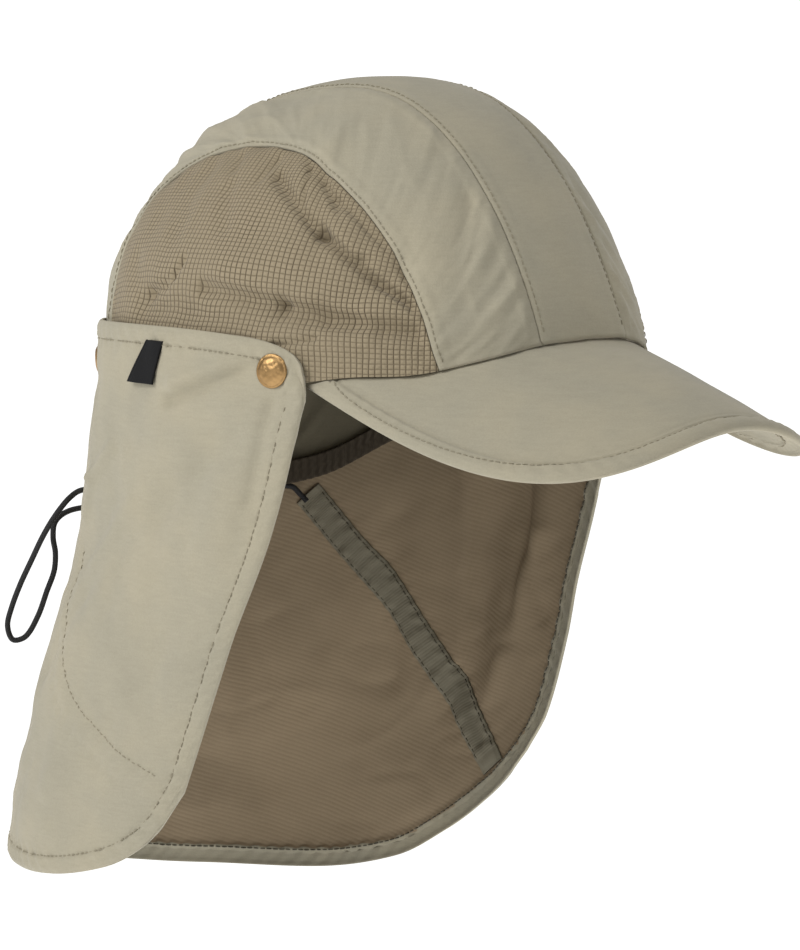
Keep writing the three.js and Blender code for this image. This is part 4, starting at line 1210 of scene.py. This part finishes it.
class Finish:
    """A material in the making."""

    def __init__(self, name):
        self.material = bpy.data.materials.new(name)
        self.material.use_nodes = True
        self.tree = self.material.node_tree
        self.tree.nodes.clear()

    def node(self, kind, settings=None, sockets=None, output=0):
        """Adds a node: its settings first, then its sockets' values or links."""
        node = self.tree.nodes.new(kind)
        for key, value in (settings or {}).items():
            setattr(node, key, value)
        for key, value in (sockets or {}).items():
            if isinstance(value, Value):
                self.tree.links.new(value.socket, node.inputs[key])
            else:
                node.inputs[key].default_value = value
        return Value(self, node.outputs[output])

    def places(self, stretch=(1, 1, 1)):
        """Object coordinates, stretched."""
        place = self.node("ShaderNodeTexCoord", output="Object")
        return self.node("ShaderNodeVectorMath", {"operation": "MULTIPLY"}, {0: place, 1: stretch})

    def cloth(self):
        """The cloth map's two coordinates, in metres."""
        place = self.node("ShaderNodeUVMap", {"uv_map": "cloth"})
        along = self.node("ShaderNodeSeparateXYZ", sockets={0: place}, output="X")
        up = self.node("ShaderNodeSeparateXYZ", sockets={0: place}, output="Y")
        return along, up

    def noise(self, place, scale, detail=2.0):
        """Noise about 0.5 with its grains about 1 / scale metres apart."""
        return self.node(
            "ShaderNodeTexNoise", {"noise_dimensions": "3D"},
            {"Vector": place, "Scale": scale, "Detail": detail, "Roughness": 0.6},
        )

    def ramp(self, value, low, high, first=0.0, last=1.0):
        """A smooth step of a value between two limits, from first to last."""
        return self.node(
            "ShaderNodeMapRange", {"interpolation_type": "SMOOTHSTEP"},
            {"Value": value, "From Min": low, "From Max": high, "To Min": first, "To Max": last},
        )

    def lines(self, value, pitch):
        """Distance to the nearest of evenly spaced lines, as a share of half their pitch."""
        return self.math("PINGPONG", value, pitch / 2) * (2 / pitch)

    def math(self, operation, first, second):
        """One operation on two values."""
        return self.node("ShaderNodeMath", {"operation": operation}, {0: first, 1: second})

    def blend(self, share, first, second):
        """Two colours mixed by a share."""
        return self.node(
            "ShaderNodeMix", {"data_type": "RGBA"}, {"Factor": share, 6: first, 7: second}, output=2
        )

    def shade(self, tint, share):
        """A colour made darker or lighter by a factor."""
        return self.node("ShaderNodeVectorMath", {"operation": "SCALE"}, {0: tint, "Scale": share})

    def bump(self, height, distance, strength=1.0, below=None):
        """A bump of a height in metres; below is the bump under it."""
        sockets = {"Height": height, "Distance": distance, "Strength": strength}
        if below is not None:
            sockets["Normal"] = below
        return self.node("ShaderNodeBump", sockets=sockets, output="Normal")

    def surface(self, **sockets):
        """The shader itself and the material's output."""
        names = {key.replace("_", " ").title().replace("Ior", "IOR"): v for key, v in sockets.items()}
        shader = self.node("ShaderNodeBsdfPrincipled", sockets=names)
        output = self.tree.nodes.new("ShaderNodeOutputMaterial")
        self.tree.links.new(shader.socket, output.inputs["Surface"])
        return self.material


def opaque(rgb):
    """A colour with full opacity."""
    return (*rgb, 1.0)


def colours():
    """The cap's colours."""
    return bpy.context.scene.cap_colours


def woven_cloth(name, tint):
    """Fine plain cloth: a thread-sized weave, soft clouds that run paler and warmer, fine grain and
    small slubs.
    """
    finish = Finish(name)
    place = finish.places()
    grain = finish.noise(place, 1500.0, 3.0)
    cloud = finish.noise(place, 26.0, 3.0)
    slub = finish.noise(finish.places((0.35, 0.35, 2.6)), 420.0, 2.0)
    tone = 0.68 + 0.22 * grain + 0.3 * cloud + 0.14 * slub
    warm = finish.blend(finish.ramp(cloud, 0.35, 0.7), opaque(tint), opaque(warmer(tint)))
    weave = finish.noise(place, 2300.0, 1.0)
    bump = finish.bump(weave, 0.00012, 0.5, finish.bump(slub, 0.00025, 0.35))
    return finish.surface(
        base_color=finish.shade(warm, tone), roughness=0.82 + 0.1 * grain, normal=bump,
        sheen_weight=0.12, sheen_roughness=0.5, specular_ior_level=0.25,
    )


def warmer(tint):
    """The colour a shade warmer."""
    return tint[0] * 1.015, tint[1] * 0.995, tint[2] * 0.965


def check_cloth(name, tint):
    """Checked ripstop: puffed cells between sunk dark lines, the upright ones stronger."""
    finish = Finish(name)
    along, up = finish.cloth()
    wander = finish.noise(finish.places(), 45.0, 2.0) * 0.0016
    upright = finish.lines(along + wander, 2.2 * MM)
    level = finish.lines(up + wander, 1.45 * MM)
    cloud = finish.noise(finish.places(), 45.0, 3.0)
    grain = finish.noise(finish.places(), 1300.0, 3.0)
    strong = finish.ramp(upright, 0.07, 0.28, 1.0, 0.0) * (0.5 + 0.7 * cloud)
    weak = finish.ramp(level, 0.1, 0.38, 1.0, 0.0) * (0.1 + 0.7 * cloud)
    mask = finish.math("MAXIMUM", strong, weak)
    cell = finish.shade(tint, 0.74 + 0.36 * grain + 0.14 * cloud)
    checked = finish.blend(mask, cell, opaque(colours().check_line))
    puff = finish.math("MULTIPLY", finish.ramp(upright, 0.0, 0.7), finish.ramp(level, 0.0, 0.8))
    bump = finish.bump(puff, 0.00028, 0.75, finish.bump(grain, 0.0001, 0.4))
    return finish.surface(
        base_color=checked, roughness=0.86 - 0.1 * puff, normal=bump,
        sheen_weight=0.1, specular_ior_level=0.25,
    )


def ribbed_lining(name, tint):
    """The cloth's inner face: fine ribs that slant down over the cloth, with uneven tone."""
    finish = Finish(name)
    along, up = finish.cloth()
    slant = math.radians(17)
    wander = finish.noise(finish.places(), 30.0, 2.0) * 0.0016
    rib = finish.lines(along * math.sin(slant) + up * math.cos(slant) + wander, 1.5 * MM)
    cloud = finish.noise(finish.places(), 24.0, 3.0)
    grain = finish.noise(finish.places(), 1200.0, 3.0)
    groove = finish.ramp(rib, 0.1, 0.7, 1.0, 0.0) * (0.02 + 0.42 * cloud)
    broad = finish.noise(finish.places(), 9.0, 2.0)
    tone = 0.5 + 0.2 * grain + 0.24 * cloud + 0.56 * broad
    ribbed = finish.blend(groove, finish.shade(tint, tone), opaque(colours().rib))
    bump = finish.bump(rib, 0.00014, 0.4, finish.bump(grain, 0.0001, 0.4))
    return finish.surface(
        base_color=ribbed, roughness=0.85 + 0.1 * grain, normal=bump, specular_ior_level=0.2
    )


def tape_cloth(name, tint):
    """Close woven tape: thin ribs across it and an uneven tone."""
    finish = Finish(name)
    along, _ = finish.cloth()
    rib = finish.lines(along, 0.9 * MM)
    cloud = finish.noise(finish.places(), 70.0, 3.0)
    grain = finish.noise(finish.places(), 1400.0, 3.0)
    tone = 0.78 + 0.2 * grain + 0.24 * cloud + 0.06 * rib
    bump = finish.bump(rib, 0.00012, 0.6, finish.bump(grain, 0.00012, 0.5))
    return finish.surface(
        base_color=finish.shade(tint, tone), roughness=0.84 + 0.1 * grain, normal=bump,
        specular_ior_level=0.2,
    )


def thread_finish(name, tint):
    """Twisted thread: thin slanting plies, a soft gloss."""
    finish = Finish(name)
    ply = finish.noise(finish.places((1.0, 1.0, 2.0)), 2600.0, 1.0)
    cloud = finish.noise(finish.places(), 90.0, 2.0)
    tone = 0.8 + 0.25 * ply + 0.15 * cloud
    return finish.surface(
        base_color=finish.shade(tint, tone), roughness=0.6 + 0.2 * ply,
        normal=finish.bump(ply, 0.0001, 0.5), specular_ior_level=0.35,
    )


def beaten_brass(name, tint):
    """Satin brass with small hammer marks, a little darker where it is dull."""
    finish = Finish(name)
    marks = finish.node(
        "ShaderNodeTexVoronoi", {"feature": "SMOOTH_F1"},
        {"Vector": finish.places(), "Scale": 620.0, "Smoothness": 0.8},
    )
    dull = finish.noise(finish.places(), 300.0, 3.0)
    fine = finish.noise(finish.places(), 2500.0, 2.0)
    bump = finish.bump(marks, 0.0003, 0.75, finish.bump(fine, 0.00003, 0.4))
    return finish.surface(
        base_color=finish.shade(tint, 0.62 + 0.6 * dull), metallic=1.0,
        roughness=0.3 + 0.22 * dull, normal=bump,
    )


def label_cloth(name, tint):
    """Black woven satin, left bare: fine cross threads and a faint gloss."""
    finish = Finish(name)
    weft = finish.noise(finish.places((1.0, 1.0, 3.2)), 1500.0, 2.0)
    cloud = finish.noise(finish.places(), 180.0, 2.0)
    return finish.surface(
        base_color=finish.shade(tint, 0.75 + 0.35 * weft + 0.2 * cloud),
        roughness=0.66 + 0.2 * weft, normal=finish.bump(weft, 0.00012, 0.6),
        specular_ior_level=0.2,
    )


def braided_cord(name, tint):
    """Round braid: two sets of plies that cross round the cord."""
    finish = Finish(name)
    along, around = finish.cloth()
    one = finish.lines(along + around, CORD_PITCH)
    two = finish.lines(along - around, CORD_PITCH)
    ply = finish.math("MAXIMUM", one, two)
    fuzz = finish.noise(finish.places(), 1800.0, 2.0)
    return finish.surface(
        base_color=finish.shade(tint, 0.55 + 0.5 * ply + 0.3 * fuzz),
        roughness=0.62 + 0.2 * fuzz, normal=finish.bump(ply, 0.00025, 0.7),
    )


def studio_floor():
    """A plain pale floor with barely any unevenness."""
    finish = Finish("studio floor")
    cloud = finish.noise(finish.places(), 0.6, 2.0)
    tint = finish.shade((0.96, 0.96, 0.955), 0.99 + 0.01 * cloud)
    return finish.surface(
        base_color=tint, roughness=0.95, specular_ior_level=0.0,
        emission_color=(1.0, 1.0, 1.0, 1.0), emission_strength=0.87,
    )


# Each finish by its name: how it is made, and its colour in the settings
FINISHES = {
    "sage cloth": (woven_cloth, "sage"),
    # The hem's finish: the sage cloth with a darker tint, painted shade
    "hem cloth": (woven_cloth, "hem"),
    # The crown's inner face: a darker tint than the lining, painted shade
    "crown inside cloth": (woven_cloth, "crown_inside"),
    "vent check cloth": (check_cloth, "check"),
    "ribbed lining": (ribbed_lining, "lining"),
    "tape cloth": (tape_cloth, "tape"),
    "band cloth": (tape_cloth, "band"),
    "sage thread": (thread_finish, "thread"),
    "dark thread": (thread_finish, "dark_thread"),
    "beaten brass": (beaten_brass, "brass"),
    "bare label cloth": (label_cloth, "black"),
    "braided cord": (braided_cord, "black"),
}


def material(name):
    """A finish by its name, made the first time that it is asked for."""
    make, tint = FINISHES[name]
    return bpy.data.materials.get(name) or make(name, tuple(getattr(colours(), tint)))


# Operators


class CapStage(bpy.types.Operator):
    """Sets up the camera, the soft lights and the pale floor."""

    bl_idname = "cap.stage"
    bl_label = "Stage"

    def execute(self, context):
        settings = context.scene.cap_stage
        a, e = settings.azimuth, settings.elevation
        right = Vector((math.cos(a), math.sin(a), 0))
        aim = right * settings.aim_side + Vector((0, 0, settings.aim_height))
        toward = Vector((math.sin(a) * math.cos(e), -math.cos(a) * math.cos(e), math.sin(e)))
        lens = bpy.data.cameras.new("camera")
        camera = bpy.data.objects.new("camera", lens)
        lens.sensor_width = SENSOR_WIDTH
        lens.lens = settings.focal_pixels / max(PHOTO_SIZE) * lens.sensor_width
        lens.clip_end = SIGHT
        camera.location = aim + toward * settings.distance
        camera.rotation_euler = (-toward).to_track_quat("-Z", "Y").to_euler()
        context.scene.collection.objects.link(camera)
        context.scene.camera = camera
        up = Vector((0, 0, 1))
        for row in rows_of(LIGHTS):
            place = aim + right * row["right"] + toward * row["toward"] + up * row["up"]
            watts = getattr(settings, row["name"])
            self.light(context, row["name"], place, aim, row["diameter"], watts)
        world = bpy.data.worlds.new("studio")
        world.use_nodes = True
        background = world.node_tree.nodes["Background"]
        background.inputs["Color"].default_value = (1.0, 1.0, 1.0, 1.0)
        # The sky lights the cap weakly, and is plain white where it is seen itself
        seen = world.node_tree.nodes.new("ShaderNodeLightPath").outputs["Is Camera Ray"]
        strength = world.node_tree.nodes.new("ShaderNodeMapRange")
        strength.inputs["To Min"].default_value = settings.sky
        strength.inputs["To Max"].default_value = 1.0
        world.node_tree.links.new(seen, strength.inputs["Value"])
        world.node_tree.links.new(strength.outputs["Result"], background.inputs["Strength"])
        context.scene.world = world
        context.scene.view_settings.view_transform = "Standard"
        low = CAD_BOX[0][2] - settings.floor_drop
        signs = ((-1, -1), (1, -1), (1, 1), (-1, 1))
        corners = [(x * FLOOR_REACH, y * FLOOR_REACH, low) for x, y in signs]
        floor = make_mesh("floor", corners, [np.array([[0, 1, 2, 3]])])
        floor.data.materials.append(studio_floor())
        return {"FINISHED"}

    def light(self, context, name, place, aim, size, watts):
        """A round soft light at a place, turned to the aim."""
        lamp = bpy.data.lights.new(name, "AREA")
        lamp.shape = "DISK"
        lamp.size = size
        lamp.energy = watts
        lit = bpy.data.objects.new(name, lamp)
        lit.location = place
        lit.rotation_euler = (aim - place).to_track_quat("-Z", "Y").to_euler()
        context.scene.collection.objects.link(lit)


class CapDrawcord(bpy.types.Operator):
    """Lays the drawcord: a round tube along its points, with a smooth curve between them."""

    bl_idname = "cap.drawcord"
    bl_label = "Drawcord"

    def execute(self, context):
        points = np.array(CORD_ROUTE) * MM
        knots = arc_of(points)
        table = {"along": knots, "x": points[:, 0], "y": points[:, 1], "z": points[:, 2]}
        along = np.linspace(0, knots[-1], 560)
        path = np.stack([curve(table, "along", axis, along) for axis in "xyz"], axis=-1)
        diameter = flap().cord_diameter
        cord = tube("drawcord_braid", path, diameter / 2, 14, CORD_PLIES * CORD_PITCH)
        dress(cord, "cord_elastic", ["drawcord"], "braided cord")
        return {"FINISHED"}


class CapCrown(bpy.types.Operator):
    """Sews the centre strip, the two side panels and the two vent panels."""

    bl_idname = "cap.crown"
    bl_label = "Crown panels"

    def execute(self, context):
        # Rough spans for the grid: over the top, across a side panel, and along and down a vent
        marks, round_trip = PANEL_MARKS, 3.2 * crown().height
        strip = spaced(2 * crown().strip_half_width, 1.1 * MM, marks), spaced(round_trip, 1.5 * MM)
        side = spaced(60 * MM, 1.15 * MM, marks), spaced(round_trip, 1.35 * MM)
        vent = spaced(2.6 * crown().height, 1.2 * MM), spaced(80 * MM, 1.1 * MM, marks)
        self.panel("centre_strip_cloth", "crown_centre_strip", "strip", 1, strip)
        for hand, sign in HANDS.items():
            self.panel(f"side_panel_cloth_{hand}", f"crown_side_panel_{hand}", "side", sign, side)
            self.panel(f"vent_cloth_{hand}", f"vent_panel_{hand}", "vent", sign, vent)
        self.topstitch()
        return {"FINISHED"}

    def panel(self, name, node, kind, sign, steps):
        """A panel as a closed wall: its relief outside, and the same face one cloth further in."""
        patch, relief, slot, finish = PANELS[kind]
        u, v = grid(*steps)
        outer, normals = crown_surface(patch, relief, sign, u, v)
        inner = outer - normals * crown().cloth
        cloth = crown_cloth_map(patch(u, v)) * np.array([sign, 1])
        under = np.ones(u.shape, int)
        piece = wall(name, outer, inner, cloth, (under * 0, under))
        # The inner face takes the darker crown inside colour: painted shade inside the crown
        dress(piece, slot, [node], finish, "crown inside cloth")

    def topstitch(self):
        """Rows of stitches beside the strip's seams, and inside the side panels' edge at the vent."""
        v = np.linspace(0.01, 0.99, 420)
        share = SEAM_STITCH / (2 * crown().strip_half_width)
        rows = [
            crown_surface(strip_patch, strip_relief, 1, v * 0 + u, v) for u in (share, 1 - share)
        ]
        ends = [crown_surface(panel_patch, panel_relief, 1, v * 0 + u, v)[0] for u in (0.0, 1.0)]
        width = np.linalg.norm(ends[1] - ends[0], axis=-1)
        inset = PANEL_STITCH + 0.25 * MM * soft_noise(v * 40, v * 0, 61)
        for sign in HANDS.values():
            rows.append(crown_surface(panel_patch, panel_relief, sign, 1 - inset / width, v))
        dress(stitches("crown_topstitch", rows), "crown_cloth", [], "sage thread")


class CapPeak(bpy.types.Operator):
    """Shapes the curved peak with its puffed, stitched edge."""

    bl_idname = "cap.peak"
    bl_label = "Peak"

    def execute(self, context):
        self.corner = rim_point(math.degrees(crown().peak_corner))
        around = np.linspace(-1, 1, 190)
        across = spaced(crown().peak_reach, 0.95 * MM, PEAK_MARKS)
        outer, normals, gap = self.puffed(*grid(around, across))
        roll = 2 * edge_roll(gap, crown().peak_thickness * PEAK_ROLL_SHARE)
        inner = outer - normals * (crown().peak_thickness + roll)[..., None]
        piece = wall("peak_cloth", outer, inner, outer[..., :2])
        dress(piece, "crown_cloth", ["peak"], "sage cloth")
        line = np.linspace(-0.985, 0.985, 420)
        points, normals, _ = self.puffed(line, 1 - crown().peak_hem / self.width(line))
        rows = [(points, normals), (points - normals * crown().peak_thickness, -normals)]
        dress(stitches("peak_topstitch", rows), "crown_cloth", [], "sage thread")
        return {"FINISHED"}

    def puffed(self, s, v):
        """Points of the upper face with its relief, the upward directions, and the gap to the edge."""
        plain, normals = self.face(s, v)
        gap, arc = edge_distance(plain, self.surface(np.linspace(-1, 1, 161), np.ones(161)))
        return plain + normals * self.relief(gap, arc, plain)[..., None], normals, gap

    def height(self, x, y):
        """Arched across, and falling forward from the rim."""
        across = x / (crown().half_width - crown().peak_side_inset)
        fall = crown().peak_fall * (y + crown().half_length)
        return crown().rim_rise - crown().peak_arch * across**2 + fall

    def rim(self, s):
        """The seam with the crown, one cloth inside its rim."""
        azimuth = s * math.degrees(crown().peak_root)
        rim = onto_crown(rim_point(azimuth))
        inward = 1 - crown().cloth / np.hypot(rim[..., 0], rim[..., 1])
        z = rim_height(azimuth) - crown().peak_clearance
        return np.stack([rim[..., 0] * inward, rim[..., 1] * inward, z], axis=-1)

    def edge(self, s):
        """The outline: half a superellipse from side to side."""
        turn = s * math.pi / 2
        power = 2 / crown().peak_squareness
        side = np.sign(s) * np.abs(np.sin(turn)) ** power
        ahead = np.maximum(np.cos(turn), 0) ** power
        x = (crown().half_width - crown().peak_side_inset) * side
        y = mix(self.corner[1], -crown().half_length - crown().peak_reach, ahead)
        return np.stack([x, y, self.height(x, y)], axis=-1)

    def width(self, s):
        """From the seam to the edge."""
        return np.linalg.norm(self.edge(s) - self.rim(s), axis=-1)

    def surface(self, s, v):
        """Straight lines from the seam to the edge, set at the board's height, lifted to the seam."""
        rim, edge = self.rim(s), self.edge(s)
        point = mix(rim, edge, v[..., None])
        lift = rim[..., 2] - self.height(rim[..., 0], rim[..., 1])
        point[..., 2] = self.height(point[..., 0], point[..., 1]) + lift * (1 - v) ** 2
        return point

    def face(self, s, v):
        """Points and upward directions."""
        step = 0.003
        along = self.surface(s + step, v) - self.surface(s - step, v)
        out = self.surface(s, v + step) - self.surface(s, v - step)
        normal = unit(np.cross(along, out))
        return self.surface(s, v), normal * np.sign(normal[..., 2:3])

    def relief(self, gap, arc, points):
        """A puffed band up to the stitch groove, a second faint groove, and slanting puckers."""
        hem = crown().peak_hem
        band = 0.75 * MM * plateau(gap, 0.3 * MM, 2.6 * MM, hem - 1.2 * MM, hem)
        groove = -0.6 * MM * bell(gap - hem, 0.6 * MM) - 0.22 * MM * bell(gap - hem - 2 * MM, 0.9 * MM)
        wander = 2.4 * soft_noise(arc / (15 * MM), gap / (40 * MM), 51)
        strength = 0.5 + 0.5 * soft_noise(arc / (24 * MM), arc * 0, 52)
        near = plateau(gap, 0.6 * MM, 3 * MM, hem - 1 * MM, hem + 2.5 * MM)
        rope = 0.22 * MM * strength * puckers(arc + 0.7 * gap, 6.8 * MM, wander) * near
        slow = 0.3 * MM * crumple(points[..., 0], points[..., 1], 30 * MM, 53)
        roll = edge_roll(gap, crown().peak_thickness * PEAK_ROLL_SHARE)
        return band + groove + rope + slow * rise(0, 12 * MM, gap) + roll


class CapBand(bpy.types.Operator):
    """Gathers the elastic band inside the rear rim."""

    bl_idname = "cap.band"
    bl_label = "Gathered band"

    def execute(self, context):
        u, v = grid(np.linspace(0, 1, 420), np.linspace(0, 1, 15))
        half = math.degrees(crown().band_angle)
        azimuth = 180 + mix(-half, half, u)
        azimuth = np.where(azimuth > 180, azimuth - 360, azimuth)
        plain = crown_plain(azimuth, rim_height(azimuth) + v * crown().band_height)
        level = np.hypot(plain[..., 0], plain[..., 1])
        arc = u * 2 * crown().band_angle * crown().half_length
        wander = 1.4 * soft_noise(arc / (9 * MM), v * 2, 71)
        gather = puckers(arc, 3.4 * MM, wander)
        pinch = 1 - 0.65 * (bell(v - 0.14, 0.07) + bell(v - 0.5, 0.06) + bell(v - 0.86, 0.07))
        inset = crown().cloth + crown().band_clearance + 0.5 * MM
        out = 1 - (inset + 0.42 * MM * gather * pinch) / level
        back = 1 - (inset + crown().band_thickness + 0.42 * MM * gather * pinch) / level
        shift = np.stack([level * 0, crown_shift(plain[..., 2]), level * 0], axis=-1)
        flat = np.array([1.0, 1.0, 0.0])
        outer = plain * (1 - flat * (1 - out[..., None])) + shift
        inner = plain * (1 - flat * (1 - back[..., None])) + shift
        cloth = np.stack([arc, v * crown().band_height], axis=-1)
        piece = wall("band_cloth", outer, inner, cloth)
        dress(piece, "band_cloth", ["back_band"], "band cloth")
        return {"FINISHED"}


class CapFlap(bpy.types.Operator):
    """Hangs the neck flap with its hems, folds, slit and top stitching."""

    bl_idname = "cap.flap"
    bl_label = "Neck flap"

    def execute(self, context):
        wide = 2 * flap().span * crown().half_length
        tall = flap().drop + flap().top
        us, vs = spaced(wide, 1.58 * MM, FLAP_MARKS), spaced(tall, 1.58 * MM, FLAP_MARKS)
        across, down = grid(us * 2 - 1, vs)
        outer, normal, gap = flap_face(across, down)
        slope = grid_normals(outer)
        slope = slope * np.sign(dot(slope, normal))[..., None]
        slope = unit(mix(normal, slope, rise(2.5 * MM, 6 * MM, gap)[..., None]))
        hemmed = 1 - rise(flap().hem - 0.3 * MM, flap().hem + 0.5 * MM, gap)
        thickness = mix(flap().cloth, flap().hem_thickness, hemmed) + 1.4 * edge_roll(gap, HEM_ROLL)
        inner = outer - slope * np.maximum(thickness, 0.35 * MM)[..., None]
        plane = flap_plane(across, down)
        inside = np.where(gap < flap().hem, 2, 1)
        piece = wall("flap_cloth", outer, inner, plane, (inside * 0, inside), self.slit(plane))
        # Finish number 2, the hem, carries the darker tint of the sage cloth: painted shade
        dress(piece, "flap_cloth", ["neck_flap"], "sage cloth", "ribbed lining", "hem cloth")
        seam = flat_offset(flap_outline(), flap().hem - HEM_STITCH)
        outside = [flap_row(seam, 0)]
        for hand, sign in HANDS.items():
            edge = flat_offset(casing_line(hand), sign * (flap().casing_width / 2 - CASING_STITCH))
            outside.append(flap_row(edge, 0))
        dress(stitches("flap_topstitch", outside), "flap_cloth", [], "sage thread")
        bound = [flap_row(self.slit_edge(), 0)]
        bound = stitches("slit_stitch", bound, pitch=0.75 * MM, span=0.9 * MM, thread=0.5 * MM)
        dress(bound, "flap_cloth", [], "sage thread")
        inside = [flap_row(seam, flap().hem_thickness)]
        inside = stitches("hem_stitch_inside", inside, thread=0.5 * MM)
        dress(inside, "flap_cloth", [], "dark thread")
        return {"FINISHED"}

    def slit_edge(self):
        """A line round the slit on the flat flap: a rounded rectangle a little outside it."""
        turn = np.linspace(0, 2 * math.pi, 90)
        circle = np.stack([np.cos(turn), np.sin(turn)], axis=-1)
        half = np.array([flap().slit_width, flap().slit_height]) / 2 + np.array(SLIT_MARGIN) * MM
        return half * np.sign(circle) * np.sqrt(np.abs(circle)) - np.array([0, flap().slit_below])

    def slit(self, plane):
        """The cells cut out for the slit at the nape: first and last lines across and down."""
        across = np.abs(plane[:, plane.shape[1] // 2, 0])
        down = np.abs(plane[len(plane) // 2, :, 1] + flap().slit_below)
        wide = np.nonzero(across < flap().slit_width / 2)[0]
        tall = np.nonzero(down < flap().slit_height / 2)[0]
        return wide[0], wide[-1], tall[0], tall[-1]


class CapCasings(bpy.types.Operator):
    """Sews the cord's two casings inside the flap: puffed tapes with puckers across them."""

    bl_idname = "cap.casings"
    bl_label = "Casings"

    def execute(self, context):
        rows = []
        for hand in HANDS:
            u, v = grid(np.linspace(-1, 1, 25), np.linspace(0, 1, 260))
            outer, inner, cloth, _ = self.face(hand, u, v)
            piece = wall(f"casing_tape_{hand}", outer, inner, cloth)
            dress(piece, "casing_cloth", [f"casing_{hand}"], "tape cloth")
            for side in (-CASING_STITCH_SHARE, CASING_STITCH_SHARE):
                line = np.linspace(0.01, 0.99, 260)
                points, _, _, away = self.face(hand, line * 0 + side, line)
                rows.append((points, away))
        dress(stitches("casing_stitch", rows), "casing_cloth", [], "dark thread")
        return {"FINISHED"}

    def face(self, hand, u, v):
        """The tape's inner and outer face: flat edges, a stitch groove, and a puffed middle."""
        line = casing_line(hand, 200)
        line[0] += unit(line[0] - line[1]) * CASING_OVERLAP
        step = np.gradient(line, axis=0)
        aside = unit(np.stack([step[:, 1], -step[:, 0]], axis=-1))
        places = np.linspace(0, 1, 200)
        plane = between(line, places, v)
        plane = plane + between(aside, places, v) * (u * flap().casing_width / 2)[..., None]
        across, down = flap_place(plane)
        points, normal, _ = flap_face(across, down)
        arc = v * CASING_LENGTH
        wander = 2 * soft_noise(arc / (11 * MM), u, 81)
        pucker = puckers(arc + 2 * MM * u, 7.2 * MM, wander)
        body = np.maximum(1 - np.abs(u / CASING_STITCH_SHARE) ** 2.6, 0)
        puff = 0.45 * MM + 0.95 * MM * body**0.6
        puff = puff + 0.14 * MM * pucker * bell(np.abs(u) - 0.55, 0.4)
        away = -normal
        base = points + away * (flap().cloth + 0.1 * MM)
        cloth = np.stack([arc, u * flap().casing_width / 2], axis=-1)
        return base + away * puff[..., None], base, cloth, away


class CapFittings(bpy.types.Operator):
    """Sets the four snap caps and the bare label."""

    bl_idname = "cap.fittings"
    bl_label = "Snaps and label"

    def execute(self, context):
        shares = np.stack([SNAP_PROFILE["radius"], SNAP_PROFILE["height"]], axis=-1)
        profile = shares * np.array([flap().snap_diameter / 2, flap().snap_height])
        for hand, sign in HANDS.items():
            for row in rows_of(SNAPS):
                across = np.array([sign * row["across"]])
                top = flap_top(across)
                height = top - row["below"] * MM
                down = (top - height) / (top - flap_bottom(across))
                points, normal = flap_point(across, down), flap_normal(across, down)
                centre = points[0] + normal[0] * flap().snap_lift
                name = f"snap_{row['place']}_{hand}"
                cap = spun(f"{name}_cap", profile, centre, normal[0], 48)
                dress(cap, "snap_brass", [name], "beaten brass")
        self.label()
        return {"FINISHED"}

    def label(self):
        """A folded tag hanging from the hem stitch, wider and further back at its lower end."""
        size = flap().label_length
        u, v = grid(np.linspace(0, 1, 25), spaced(size, 0.5 * MM, LABEL_MARKS))
        arc = flap().span * crown().half_length
        wide = flap().label_width * mix(1, flap().label_flare, v)
        across = -LABEL_ACROSS + ((u - 0.5) * wide + flap().label_skew * v) / arc
        top = flap_top(np.float64(LABEL_ACROSS)) - flap().hem * LABEL_HEM_SHARE
        down = (flap_top(across) - top + size * v) / (flap_top(across) - flap_bottom(across))
        normal = flap_normal(across, down)
        curl = 1.2 * MM * v**2 + 0.3 * MM * np.sin(math.pi * u) + 0.25 * MM * np.sin(5 * u + 3 * v)
        fold = -0.35 * MM * bell(u - 0.93, 0.02)
        roll = edge_roll(np.minimum(v, 1 - v) * size, 0.3 * MM)
        outer = flap_point(across, down) + normal * (1.15 * MM + curl + fold + roll)[..., None]
        inner = outer - normal * flap().label_thickness
        piece = wall("label_tag", outer, inner, outer[..., :2])
        dress(piece, "label_cloth", ["label"], "bare label cloth")


class CapPanel(bpy.types.Panel):
    """Lists the cap's steps and its sizes."""

    bl_label = "Sun cap"
    bl_idname = "VIEW3D_PT_sun_cap"
    bl_space_type = "VIEW_3D"
    bl_region_type = "UI"
    bl_category = "Sun cap"

    def draw(self, context):
        for step in STEPS:
            self.layout.operator(step.bl_idname)
        for _, group in SETTINGS:
            box = self.layout.box()
            settings = getattr(context.scene, group)
            for key in settings.__annotations__:
                box.prop(settings, key)


STEPS = (CapStage, CapDrawcord, CapCrown, CapPeak, CapBand, CapFlap, CapCasings, CapFittings)
SETTINGS = (
    (CrownSizes, "cap_crown"),
    (FlapSizes, "cap_flap"),
    (CapColours, "cap_colours"),
    (StageSettings, "cap_stage"),
)


def register():
    """Registers the settings, the operators and the panel."""
    for settings, group in SETTINGS:
        bpy.utils.register_class(settings)
        setattr(bpy.types.Scene, group, bpy.props.PointerProperty(type=settings))
    for item in (*STEPS, CapPanel):
        bpy.utils.register_class(item)


def unregister():
    """Takes them out again."""
    for item in reversed((*STEPS, CapPanel)):
        bpy.utils.unregister_class(item)
    for settings, group in reversed(SETTINGS):
        delattr(bpy.types.Scene, group)
        bpy.utils.unregister_class(settings)


def main():
    """Makes each piece in order."""
    register()
    for step in STEPS:
        getattr(bpy.ops.cap, step.bl_idname.split(".")[1])()


if __name__ == "__main__":
    main()
